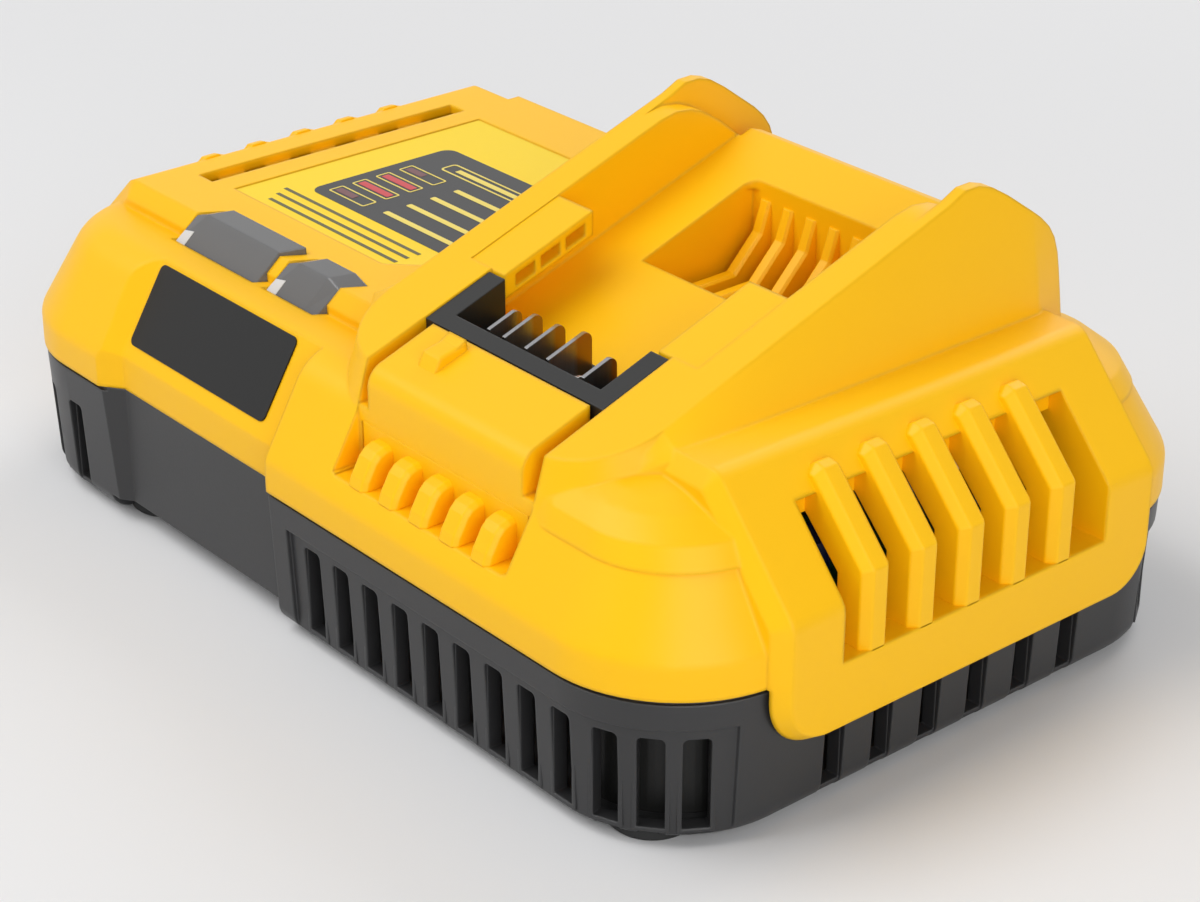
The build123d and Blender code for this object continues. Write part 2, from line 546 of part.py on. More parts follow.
with BuildPart() as lower_housing:
    drafted(0.0, BOTTOM_Z, SPLIT_Z)
    sole = lower_housing.faces().sort_by(Axis.Z)[0]
    fillet(sole.edges(), 5.0)
    add(lip_ring(LIP_SET, LIP_THICK, SPLIT_Z - 1, SPLIT_Z + LIP_HEIGHT, 0.0))
    # recess under the front label, bevelled at its left end
    bar_z([(RECESS_LEFT, -90.0), (RECESS_LEFT, -80.2), (RECESS_LEFT + 6.4, RECESS_Y), (RECESS_RIGHT, RECESS_Y),
           (RECESS_RIGHT, -90.0)], BOTTOM_Z - 1, SPLIT_Z + 3, Mode.SUBTRACT)
    bar_x([(-90.0, BOTTOM_Z - 2), (-90.0, SOLE_RISE), (RECESS_Y, SOLE_RISE), (-70.5, BOTTOM_Z - 0.1),
           (-70.5, BOTTOM_Z - 2)], RECESS_LEFT, RECESS_RIGHT, Mode.SUBTRACT)
    add(tray_cavity.part, mode=Mode.SUBTRACT)
    # shadow groove under the upper shell
    with BuildPart(mode=Mode.PRIVATE) as groove:
        rounded(HALF_LENGTH + 2, HALF_WIDTH + 2, CORNER + 2, SPLIT_Z - 1.0, 1.0)
        rounded(BASE_X - 0.9, BASE_Y - 0.9, BASE_R - 0.9, SPLIT_Z - 2.0, 3.0, mode=Mode.SUBTRACT)
    add(groove.part, mode=Mode.SUBTRACT)
    # shallow frame round the slots on the front, the right corner and the back
    with BuildPart(mode=Mode.PRIVATE) as frame:
        drafted(-2.0, BOTTOM_Z - 2.0, 24.5)
        drafted(1.0, BOTTOM_Z - 2.5, 26.0, Mode.SUBTRACT)
        block(-130, -0.5, -90, 90, -6, 30, Mode.SUBTRACT)
        block(BASE_X - 18.0, 130, -57.8, 57.8, -6, 30, Mode.SUBTRACT)
    add(frame.part, mode=Mode.SUBTRACT)
    tray_slots()
    for x, y in BOARD_POSTS:
        post(x, y, 3.5, BOARD_Z, 1.25)
    for x, y in HOUSING_POSTS:
        disc(x, y, 5.0, TRAY_FLOOR - 0.5, SPLIT_Z)
        disc(x, y, 1.8, BOTTOM_Z - 1, SPLIT_Z + 1, Mode.SUBTRACT)
        disc(x, y, 3.4, BOTTOM_Z - 1, SCREW_SEAT, Mode.SUBTRACT)
    for x, y in FEET:
        disc(x, y, FOOT_R + 0.15, BOTTOM_Z - 1, FOOT_TOP, Mode.SUBTRACT)
    # keyholes
    for sx in (-1, 1):
        x = sx * KEYHOLE_X
        disc(x, 0.0, KEYHOLE_R, BOTTOM_Z - 1, 4.0, Mode.SUBTRACT)
        block(x - KEYHOLE_SLOT, x + KEYHOLE_SLOT, 0.0, KEYHOLE_RISE, BOTTOM_Z - 1, 4.0, Mode.SUBTRACT)
        disc(x, KEYHOLE_RISE, KEYHOLE_SLOT, BOTTOM_Z - 1, 4.0, Mode.SUBTRACT)
    # flat boss and hole for the cord gland
    with BuildSketch(INLET.offset(70.0)) as hole:
        Circle(INLET_BARREL + 0.2)
    extrude(hole.sketch, amount=20.0, mode=Mode.SUBTRACT)
save(lower_housing, "lower_housing")


# --- feet, screws and gland -------------------------------------------------------------------------------
with BuildPart() as rubber_feet:
    for x, y in FEET:
        disc(x, y, FOOT_R, -FOOT_DROP, FOOT_TOP)
    treads = rubber_feet.edges().filter_by(lambda e: abs(e.center().Z + FOOT_DROP) < 0.01)
    chamfer(treads, 0.5)
save(rubber_feet, "rubber_feet")


def screw(x, y, seat, tip, shank, head, height, up):
    """Round-headed screw; up is +1 when it points upwards from its seat."""
    low, high = sorted((seat, seat - up * height))
    disc(x, y, head, low, high)
    low, high = sorted((seat - up * 0.2, tip))
    disc(x, y, shank, low, high)
    disc(x, y, 0.7, *sorted((seat - up * height, seat - up * (height - 1.0))), mode=Mode.SUBTRACT)


with BuildPart() as housing_screws:
    for x, y in HOUSING_POSTS:
        screw(x, y, SCREW_SEAT, SPLIT_Z + 11.0, 1.25, 3.1, 2.4, 1)
save(housing_screws, "housing_screws")

with BuildPart() as board_screws:
    for x, y in BOARD_POSTS:
        screw(x, y, BOARD_TOP, TRAY_FLOOR + 1.6, 1.2, 3.0, 2.0, -1)
    for x, y in INDICATOR_POSTS:
        screw(x, y, INDICATOR_Z, INDICATOR_Z + 5.2, 1.0, 2.2, 1.6, 1)
save(board_screws, "board_screws")

with BuildPart() as cord_gland:
    with BuildSketch(INLET.offset(73.4)) as collar:
        Circle(8.0)
    extrude(collar.sketch, amount=2.2)
    with BuildSketch(INLET.offset(73.4)) as barrel:
        Circle(INLET_BARREL)
    extrude(barrel.sketch, amount=5.5)
    with BuildSketch(INLET.offset(73.0)) as bore:
        Circle(INLET_BORE)
    extrude(bore.sketch, amount=8.0, mode=Mode.SUBTRACT)
save(cord_gland, "cord_gland")


# --- terminals -------------------------------------------------------------------------------------------
def pit(y):
    """Top of the terminal block's base."""
    return deck(y) - 9.5


BLADES = {-12.9: -42.1, -7.9: -40.7, -0.9: -40.5, 6.0: -39.4, 16.9: -42.1}
SIGNAL = {14.0: -45.1}
BLADE_THICK, BLADE_ROOT = 0.9, -47.9


def blade(beside, tip, drop, grow=0.0):
    """One upright contact with a rounded top rear corner, its foot sunk in the block."""
    low = pit(tip) - 4.0 - grow
    points = [(BLADE_ROOT - grow, low), (BLADE_ROOT - grow, deck(BLADE_ROOT) - drop),
              (tip - 2.2, deck(tip - 2.2) - drop), (tip - 0.6, deck(tip) - drop - 1.0),
              (tip + grow, deck(tip) - drop - 2.8), (tip + grow, low)]
    half = BLADE_THICK / 2 + grow
    bar_x(points, BAY_X + beside - half, BAY_X + beside + half, Mode.SUBTRACT if grow else Mode.ADD)


with BuildPart() as terminal_block:
    bar_x([(TERMINAL_FRONT, TERMINAL_SEAT), (TERMINAL_FRONT, deck(TERMINAL_FRONT) - 0.2),
           (TERMINAL_BACK, deck(TERMINAL_BACK) - 0.2), (TERMINAL_BACK, TERMINAL_SEAT)],
          BAY_X - TERMINAL_HALF, BAY_X + TERMINAL_HALF)
    bar_x([(-48.4, pit(-48.4)), (-48.4, 90.0), (-30.0, 90.0), (-30.0, pit(-30.0))],
          BAY_X - 23.0, BAY_X + 23.0, Mode.SUBTRACT)
    for beside, tip in {**BLADES, **SIGNAL}.items():
        blade(beside, tip, 0.8, 0.05)
save(terminal_block, "terminal_block")

with BuildPart() as power_blades:
    for beside, tip in BLADES.items():
        blade(beside, tip, 0.8)
save(power_blades, "power_blades")

with BuildPart() as signal_contact:
    for beside, tip in SIGNAL.items():
        blade(beside, tip, 1.4)
save(signal_contact, "signal_contact")


# --- lenses and labels --------------------------------------------------------------------------------------
def lens(x0, x1):
    """Bent lens bridging the step between dome and plateau."""
    bar_x([(LENS_FRONT, 59.3), (-49.5, 66.2), (LENS_BACK, 67.0), (LENS_BACK, 64.85), (-48.35, 64.3),
           (-52.35, 58.6), (LENS_FRONT, 58.97)], x0 - 10, x1 + 15)
    extrude(outline(Plane.XY.offset(50), lens_plan(x0, x1, 0.0)), amount=25.0, mode=Mode.INTERSECT)


with BuildPart() as charge_lens:
    lens(*LENSES["charge_lens"])
save(charge_lens, "charge_lens")

with BuildPart() as fault_lens:
    lens(*LENSES["fault_lens"])
save(fault_lens, "fault_lens")

label_z = 51.0
label_plane = Plane(origin=(-40.95, RECESS_Y + (label_z - RECESS_KNEE_Z) / RECESS_SLOPE, label_z),
                    x_dir=(1, 0, 0), z_dir=(0, -RECESS_SLOPE, 1.0))
with BuildPart() as front_label:
    with BuildSketch(label_plane):
        RectangleRounded(53.1, 19.6, 1.6)
    extrude(amount=LABEL_THICK)
save(front_label, "front_label")

with BuildPart() as top_label:
    with BuildSketch(Plane.XY.offset(PLATEAU_Z - LABEL_SINK)):
        with BuildLine():
            Polyline(*TOP_LABEL, close=True)
        make_face()
        offset(amount=-FIT)
    extrude(amount=LABEL_THICK)
save(top_label, "top_label")


# --- board and what stands on it --------------------------------------------------------------------------
with BuildPart() as circuit_board:
    block(BOARD_X0, BOARD_X1, -BOARD_HALF_Y, BOARD_HALF_Y, BOARD_Z, BOARD_TOP)
    corners = circuit_board.edges().filter_by(Axis.Z)
    fillet(corners, 3.0)
    for x, y in BOARD_POSTS:
        disc(x, y, 1.7, BOARD_Z - 1, BOARD_TOP + 1, Mode.SUBTRACT)
save(circuit_board, "circuit_board")

CORE_X, CORE_Y = -13.0, 14.0
CORE_HALF, CORE_DEEP, LEG, WINDOW = 22.0, 8.0, 7.0, 16.0
CORE_TOP = BOARD_TOP + 38.0
YOKE = 6.0
TUBE = 1.2

with BuildPart() as transformer_core:
    block(CORE_X - CORE_HALF, CORE_X + CORE_HALF, CORE_Y - CORE_DEEP, CORE_Y + CORE_DEEP, BOARD_TOP, CORE_TOP)
    for side in bay_sides():
        x0, x1 = sorted((CORE_X + side * LEG, CORE_X + side * WINDOW))
        block(x0, x1, CORE_Y - 20, CORE_Y + 20, BOARD_TOP + YOKE, CORE_TOP - YOKE, Mode.SUBTRACT)
save(transformer_core, "transformer_core")

low_flange, high_flange = BOARD_TOP + YOKE, CORE_TOP - YOKE
gap = 0.15
with BuildPart() as transformer_bobbin:
    for z in (low_flange, high_flange - 1.6):
        block(CORE_X - WINDOW + gap, CORE_X + WINDOW - gap, CORE_Y - 16.0, CORE_Y + 16.0, z, z + 1.6)
    block(CORE_X - LEG - gap - TUBE, CORE_X + LEG + gap + TUBE, CORE_Y - CORE_DEEP - gap - TUBE,
          CORE_Y + CORE_DEEP + gap + TUBE, low_flange, high_flange)
    block(CORE_X - LEG - gap, CORE_X + LEG + gap, CORE_Y - CORE_DEEP - gap, CORE_Y + CORE_DEEP + gap,
          low_flange - 1, high_flange + 1, Mode.SUBTRACT)
    for side in bay_sides():
        y0, y1 = sorted((CORE_Y + side * 11.0, CORE_Y + side * 16.0))
        block(CORE_X - 13.0, CORE_X + 13.0, y0, y1, BOARD_TOP, low_flange + 0.5)
save(transformer_bobbin, "transformer_bobbin")

with BuildPart() as transformer_winding:
    ring = soft_rectangle(Plane.XY.offset(low_flange + 1.6), 30.0, 30.0, 6.0, (CORE_X, CORE_Y))
    extrude(ring, amount=high_flange - low_flange - 3.2)
    reach_x, reach_y = LEG + gap + TUBE + 0.05, CORE_DEEP + gap + TUBE + 0.05
    block(CORE_X - reach_x, CORE_X + reach_x, CORE_Y - reach_y, CORE_Y + reach_y, 0, 60, Mode.SUBTRACT)
save(transformer_winding, "transformer_winding")

CHOKE_X, CHOKE_Y, CHOKE_Z = -71.0, 24.0, BOARD_TOP + 11.5
with BuildPart() as choke_core:
    with BuildSketch(Plane.XZ.offset(-CHOKE_Y - 4.0)):
        with Locations((CHOKE_X, CHOKE_Z)):
            Circle(10.0)
            Circle(5.5, mode=Mode.SUBTRACT)
    extrude(amount=8.0)
save(choke_core, "choke_core")

with BuildPart() as choke_winding:
    for side in bay_sides():
        with BuildSketch(Plane.XZ.offset(-CHOKE_Y - 5.5)):
            with Locations((CHOKE_X, CHOKE_Z)):
                Circle(11.5)
                Circle(4.0, mode=Mode.SUBTRACT)
                Rectangle(7.0, 30.0, mode=Mode.SUBTRACT)
                with Locations((-side * 15.0, 0)):
                    Rectangle(30.0, 40.0, mode=Mode.SUBTRACT)
        extrude(amount=11.0)
    with BuildSketch(Plane.XZ.offset(-CHOKE_Y - 4.0)):
        with Locations((CHOKE_X, CHOKE_Z)):
            Circle(10.05)
            Circle(5.45, mode=Mode.SUBTRACT)
    extrude(amount=8.0, mode=Mode.SUBTRACT)
    for side in bay_sides():
        disc(CHOKE_X + side * 8.0, CHOKE_Y + 5.0, 0.6, BOARD_TOP, BOARD_TOP + 5.0)
save(choke_winding, "choke_winding")


def can(x, y, radius, height):
    """Upright electrolytic capacitor with a crimped neck."""
    disc(x, y, radius, BOARD_TOP, BOARD_TOP + height)
    with BuildPart(mode=Mode.PRIVATE) as crimp:
        disc(x, y, radius + 1, BOARD_TOP + 2.4, BOARD_TOP + 3.4)
        disc(x, y, radius - 0.5, BOARD_TOP + 2.0, BOARD_TOP + 4.0, Mode.SUBTRACT)
    add(crimp.part, mode=Mode.SUBTRACT)


with BuildPart() as input_capacitor:
    can(-64.0, -34.0, 13.0, 38.0)
save(input_capacitor, "input_capacitor")

with BuildPart() as output_capacitors:
    for x in (26.0, 62.0):
        can(x, -40.0, 8.0, 24.0)
    can(76.0, 0.0, 5.0, 18.0)
save(output_capacitors, "output_capacitors")

with BuildPart() as film_capacitor:
    block(-82.0, -60.0, -3.0, 6.0, BOARD_TOP, BOARD_TOP + 17.0)
    fillet(film_capacitor.edges(), 0.8)
save(film_capacitor, "film_capacitor")

with BuildPart() as bridge_rectifier:
    block(-82.0, -60.0, -14.0, -10.0, BOARD_TOP + 3.0, BOARD_TOP + 19.0)
    for index in range(4):
        x = -78.6 + index * 5.08
        block(x - 0.6, x + 0.6, -12.4, -11.6, BOARD_TOP, BOARD_TOP + 3.2)
save(bridge_rectifier, "bridge_rectifier")

with BuildPart() as fuse:
    with BuildSketch(Plane.YZ.offset(-80.0)):
        with Locations((42.0, BOARD_TOP + 4.2)):
            Circle(2.6)
    extrude(amount=20.0)
    for x in (-79.0, -66.0):
        block(x, x + 5.0, 38.6, 45.4, BOARD_TOP, BOARD_TOP + 6.0)
save(fuse, "fuse")


def heat_sink(x0, x1, y0, y1, top, fin_axis, fin_way, count, reach):
    """Upright plate with a comb of fins on one side."""
    block(x0, x1, y0, y1, BOARD_TOP, top)
    span = (y1 - y0) if fin_axis == "x" else (x1 - x0)
    for index in range(count):
        at = (y0 if fin_axis == "x" else x0) + (index + 0.5) * span / count
        if fin_axis == "x":
            edge = x1 if fin_way > 0 else x0
            block(*sorted((edge, edge + fin_way * reach)), at - 0.8, at + 0.8, BOARD_TOP + 3.0, top)
        else:
            edge = y1 if fin_way > 0 else y0
            block(at - 0.8, at + 0.8, *sorted((edge, edge + fin_way * reach)), BOARD_TOP + 3.0, top)


with BuildPart() as primary_heat_sink:
    heat_sink(-50.0, -47.0, -16.0, 34.0, 40.0, "x", -1, 9, 8.0)
save(primary_heat_sink, "primary_heat_sink")

with BuildPart() as secondary_heat_sink:
    heat_sink(22.0, 66.0, -22.0, -19.0, 33.0, "y", 1, 8, 8.0)
save(secondary_heat_sink, "secondary_heat_sink")


def power_package(x, y, across):
    """Flat transistor package standing against a heat sink, with three legs; across is its thin axis."""
    thin, wide = 4.5, 10.4
    dx, dy = (thin, wide) if across == "x" else (wide, thin)
    block(x - dx / 2, x + dx / 2, y - dy / 2, y + dy / 2, BOARD_TOP + 5.0, BOARD_TOP + 21.0)
    for leg in (-2.54, 0.0, 2.54):
        lx, ly = (x, y + leg) if across == "x" else (x + leg, y)
        block(lx - 0.4, lx + 0.4, ly - 0.4, ly + 0.4, BOARD_TOP, BOARD_TOP + 5.2)


with BuildPart() as switching_transistors:
    for y in (-7.0, 9.0, 25.0):
        power_package(-47.0 + 2.25, y, "x")
save(switching_transistors, "switching_transistors")

with BuildPart() as output_rectifiers:
    for x in (32.0, 52.0):
        power_package(x, -22.0 - 2.25, "y")
save(output_rectifiers, "output_rectifiers")

with BuildPart() as mains_header:
    block(-56.0, -40.0, 44.0, 53.0, BOARD_TOP, BOARD_TOP + 11.0)
    for x in (-52.0, -44.0):
        block(x - 2.6, x + 2.6, 46.0, 51.0, BOARD_TOP + 2.0, BOARD_TOP + 12.0, Mode.SUBTRACT)
save(mains_header, "mains_header")

with BuildPart() as output_leads:
    for side in bay_sides():
        x = BAY_X + side * LEAD_X
        with BuildLine() as run:
            FilletPolyline((x, -52.5, BOARD_TOP), (x, -52.5, 34.0), (x, LEAD_Y, 44.0), (x, LEAD_Y, TERMINAL_SEAT),
                           radius=5.0)
        with BuildSketch(Plane.XY.offset(BOARD_TOP)) as round_lead:
            with Locations((x, -52.5)):
                Circle(LEAD_R)
        sweep(round_lead.sketch, path=run.line)
save(output_leads, "output_leads")

with BuildPart() as indicator_board:
    block(-80.0, -14.0, -60.5, -45.0, INDICATOR_Z, INDICATOR_Z + INDICATOR_THICK)
    for x, y in INDICATOR_POSTS:
        disc(x, y, 1.3, INDICATOR_Z - 1, INDICATOR_Z + 3, Mode.SUBTRACT)
save(indicator_board, "indicator_board")

with BuildPart() as indicator_leds:
    for x in (-66.0, -54.0, -28.0):
        disc(x, -49.3, 1.5, INDICATOR_Z + INDICATOR_THICK, INDICATOR_Z + INDICATOR_THICK + 3.4)
    domes = indicator_leds.edges().filter_by(lambda e: e.center().Z > INDICATOR_Z + INDICATOR_THICK + 3.3)
    fillet(domes, 1.3)
save(indicator_leds, "indicator_leds")


# --- fan ---------------------------------------------------------------------------------------------------
FAN_LOW = FAN_TOP - FAN_THICK
HUB_TOP = FAN_LOW + 3.0
BEARING_TOP = FAN_TOP - 4.1
ROTOR_R = FAN_BORE - 1.0

with BuildPart() as air_duct:
    foot = Plane.XY.offset(FAN_TOP)
    for grow, mode in ((0.0, Mode.ADD), (-1.4, Mode.SUBTRACT)):
        with BuildSketch(foot) as round_end:
            with Locations((BAY_X, FAN_Y)):
                Circle(30.0 + grow)
        collar = soft_rectangle(Plane.XY.offset(WELL_FOOT - 0.3), 2 * (WELL_HALF + 2 + FIT + 1.4 + grow),
                                WELL_BACK - WELL_FRONT + 4 + 2 * (FIT + 1.4 + grow), 0.6, (BAY_X, FAN_Y))
        loft([round_end.sketch.face(), collar.face()], mode=mode)
        extrude(collar, amount=3.3, mode=mode)
save(air_duct, "air_duct")

with BuildPart() as fan_frame:
    with BuildSketch(Plane.XY.offset(FAN_LOW)):
        with Locations((BAY_X, FAN_Y)):
            RectangleRounded(FAN_SIZE, FAN_SIZE, 4.0)
            Circle(FAN_BORE, mode=Mode.SUBTRACT)
    extrude(amount=FAN_THICK)
    for angle in (45, 135):
        with BuildSketch(Plane.XY.offset(FAN_LOW)):
            with Locations((BAY_X, FAN_Y)):
                Rectangle(2 * FAN_BORE + 2, 4.0, rotation=angle)
        extrude(amount=3.0)
    disc(BAY_X, FAN_Y, 12.5, FAN_LOW, HUB_TOP)
    disc(BAY_X, FAN_Y, 4.4, HUB_TOP, BEARING_TOP - 0.3)
    disc(BAY_X, FAN_Y, 3.0, FAN_LOW + 1.0, 60.0, Mode.SUBTRACT)
    for x, y in FAN_POSTS:
        disc(x, y, 1.5, FAN_LOW - 1, FAN_TOP + 1, Mode.SUBTRACT)
save(fan_frame, "fan_frame")

with BuildPart() as fan_bearing:
    disc(BAY_X, FAN_Y, 2.95, FAN_LOW + 1.0, BEARING_TOP)
    disc(BAY_X, FAN_Y, SHAFT_R + SHAFT_PLAY, FAN_LOW, 60.0, Mode.SUBTRACT)
save(fan_bearing, "fan_bearing")

with BuildPart() as fan_stator:
    disc(BAY_X, FAN_Y, 6.6, HUB_TOP, HUB_TOP + 6.5)
    for angle in (0, 90):
        with BuildSketch(Plane.XY.offset(HUB_TOP)):
            with Locations((BAY_X, FAN_Y)):
                Rectangle(19.0, 3.2, rotation=angle)
        extrude(amount=6.5)
    with BuildPart(mode=Mode.PRIVATE) as shoes:
        disc(BAY_X, FAN_Y, 9.9, HUB_TOP, HUB_TOP + 6.5)
        disc(BAY_X, FAN_Y, 8.4, 0, 60, Mode.SUBTRACT)
        for angle in (45, 135):
            with BuildSketch(Plane.XY.offset(HUB_TOP)) as gate:
                with Locations((BAY_X, FAN_Y)):
                    Rectangle(30.0, 3.0, rotation=angle)
            extrude(gate.sketch, amount=8.0, mode=Mode.SUBTRACT)
    add(shoes.part)
    disc(BAY_X, FAN_Y, 4.45, 0, 60, Mode.SUBTRACT)
save(fan_stator, "fan_stator")

with BuildPart() as fan_shaft:
    disc(BAY_X, FAN_Y, SHAFT_R, FAN_LOW + 1.4, FAN_TOP - 1.6)
save(fan_shaft, "fan_shaft")

with BuildPart() as fan_rotor:
    disc(BAY_X, FAN_Y, 12.4, HUB_TOP + 0.6, FAN_TOP - 1.6)
    disc(BAY_X, FAN_Y, 10.6, 0, BEARING_TOP + 0.3, Mode.SUBTRACT)
    for index in range(7):
        turn = index * 360.0 / 7
        ends = []
        for radius, pitch in ((11.5, 48.0), (ROTOR_R + 1.5, 32.0)):
            a = radians(turn)
            plane = Plane(origin=(BAY_X + radius * cos(a), FAN_Y + radius * sin(a), (HUB_TOP + FAN_TOP) / 2),
                          x_dir=(-sin(a), cos(a), 0), z_dir=(cos(a), sin(a), 0))
            with BuildSketch(plane, mode=Mode.PRIVATE) as section:
                chord = 9.6 / sin(radians(pitch))
                Rectangle(chord, 1.3, rotation=pitch)
            ends.append(section.sketch.face())
        loft(ends, ruled=True)
    with BuildSketch(Plane.XY.offset(HUB_TOP + 0.5)):
        with Locations((BAY_X, FAN_Y)):
            Circle(ROTOR_R)
    extrude(amount=FAN_TOP - 0.8 - HUB_TOP - 0.5, mode=Mode.INTERSECT)
    disc(BAY_X, FAN_Y, 10.6, 0, BEARING_TOP + 0.3, Mode.SUBTRACT)
    disc(BAY_X, FAN_Y, SHAFT_R + 0.02, 0, 60, Mode.SUBTRACT)
save(fan_rotor, "fan_rotor")

with BuildPart() as fan_screws:
    for x, y in FAN_POSTS:
        screw(x, y, FAN_LOW, FAN_TOP + 6.5, 1.15, 2.7, 2.0, 1)
save(fan_screws, "fan_screws")
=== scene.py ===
"""Looks of a power tool battery charger: yellow shell, black vented tray, contact bay and lenses.

The model is in metres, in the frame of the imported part: X along the front, Y to the back, Z up, with
the feet on Z = 0. Shapes are typed in millimetres and turned into metres as they are built.
"""

import logging
import math
from collections.abc import Iterator
from dataclasses import dataclass, replace
from enum import Enum
from functools import cache

import bmesh
import bpy
import numpy as np
from mathutils import Euler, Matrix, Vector

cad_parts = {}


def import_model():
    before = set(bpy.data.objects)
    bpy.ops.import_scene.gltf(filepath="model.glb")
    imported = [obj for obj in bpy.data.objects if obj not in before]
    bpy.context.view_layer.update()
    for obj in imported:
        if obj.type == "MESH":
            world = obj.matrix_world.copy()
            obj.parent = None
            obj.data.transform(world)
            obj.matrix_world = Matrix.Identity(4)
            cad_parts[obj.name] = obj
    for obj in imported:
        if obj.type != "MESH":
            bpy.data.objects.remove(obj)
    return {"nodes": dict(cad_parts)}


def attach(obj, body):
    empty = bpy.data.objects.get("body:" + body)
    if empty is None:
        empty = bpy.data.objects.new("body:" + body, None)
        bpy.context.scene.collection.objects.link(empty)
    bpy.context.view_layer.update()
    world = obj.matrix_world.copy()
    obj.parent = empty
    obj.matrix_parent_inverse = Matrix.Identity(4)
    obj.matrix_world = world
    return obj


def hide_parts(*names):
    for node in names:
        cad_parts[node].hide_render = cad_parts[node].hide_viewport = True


LOG = logging.getLogger("charger")
MM = 0.001
BODY = "charger"
CORNERS = ((-1, -1), (-1, 1), (1, -1), (1, 1))

Material = bpy.types.Material
Node = bpy.types.Node
Piece = bpy.types.Object
Socket = bpy.types.NodeSocket
Tree = bpy.types.NodeTree
Box = tuple[float, float, float, float]
Colour = tuple[float, float, float]
Outline = tuple[tuple[float, float], ...] | np.ndarray
Place = tuple[float, float, float]
Span = tuple[float, float]


def linear(display: Colour) -> tuple[float, float, float, float]:
    """Turn display values from 0 to 255 into a linear colour.

    Args:
        display: Values of red, green and blue.

    Returns:
        The three linear values, and 1 for alpha.
    """
    shown = np.array(display) / 255.0
    bright = ((shown + 0.055) / 1.055) ** 2.4
    return (*np.where(shown <= 0.04045, shown / 12.92, bright).tolist(), 1.0)


# --- nodes and shared effects ---


def fill(tree: Tree, node: Node, sockets: dict[int | str, object]) -> None:
    """Link or set a node's sockets.

    Args:
        tree: The node tree.
        node: The node.
        sockets: Socket name or number to the output that is linked to it, or to its value.
    """
    for name, feed in sockets.items():
        if isinstance(feed, Socket):
            tree.links.new(feed, node.inputs[name])
        else:
            node.inputs[name].default_value = feed


def add_node(tree: Tree, kind: str, sockets: dict[int | str, object], **settings: object) -> Node:
    """Add a shader node, set it up and fill its sockets.

    Args:
        tree: The node tree.
        kind: The node's type, without ShaderNode in front.
        sockets: As for fill.
        settings: The node's own settings.

    Returns:
        The node.
    """
    node = tree.nodes.new(f"ShaderNode{kind}")
    for name, value in settings.items():
        setattr(node, name, value)
    fill(tree, node, sockets)
    return node


class Effect(Enum):
    """Shader effects that several finishes share."""

    SKIN = "moulded_skin"
    SOFT_EDGES = "soft_edges"
    STREAKS = "drawn_streaks"


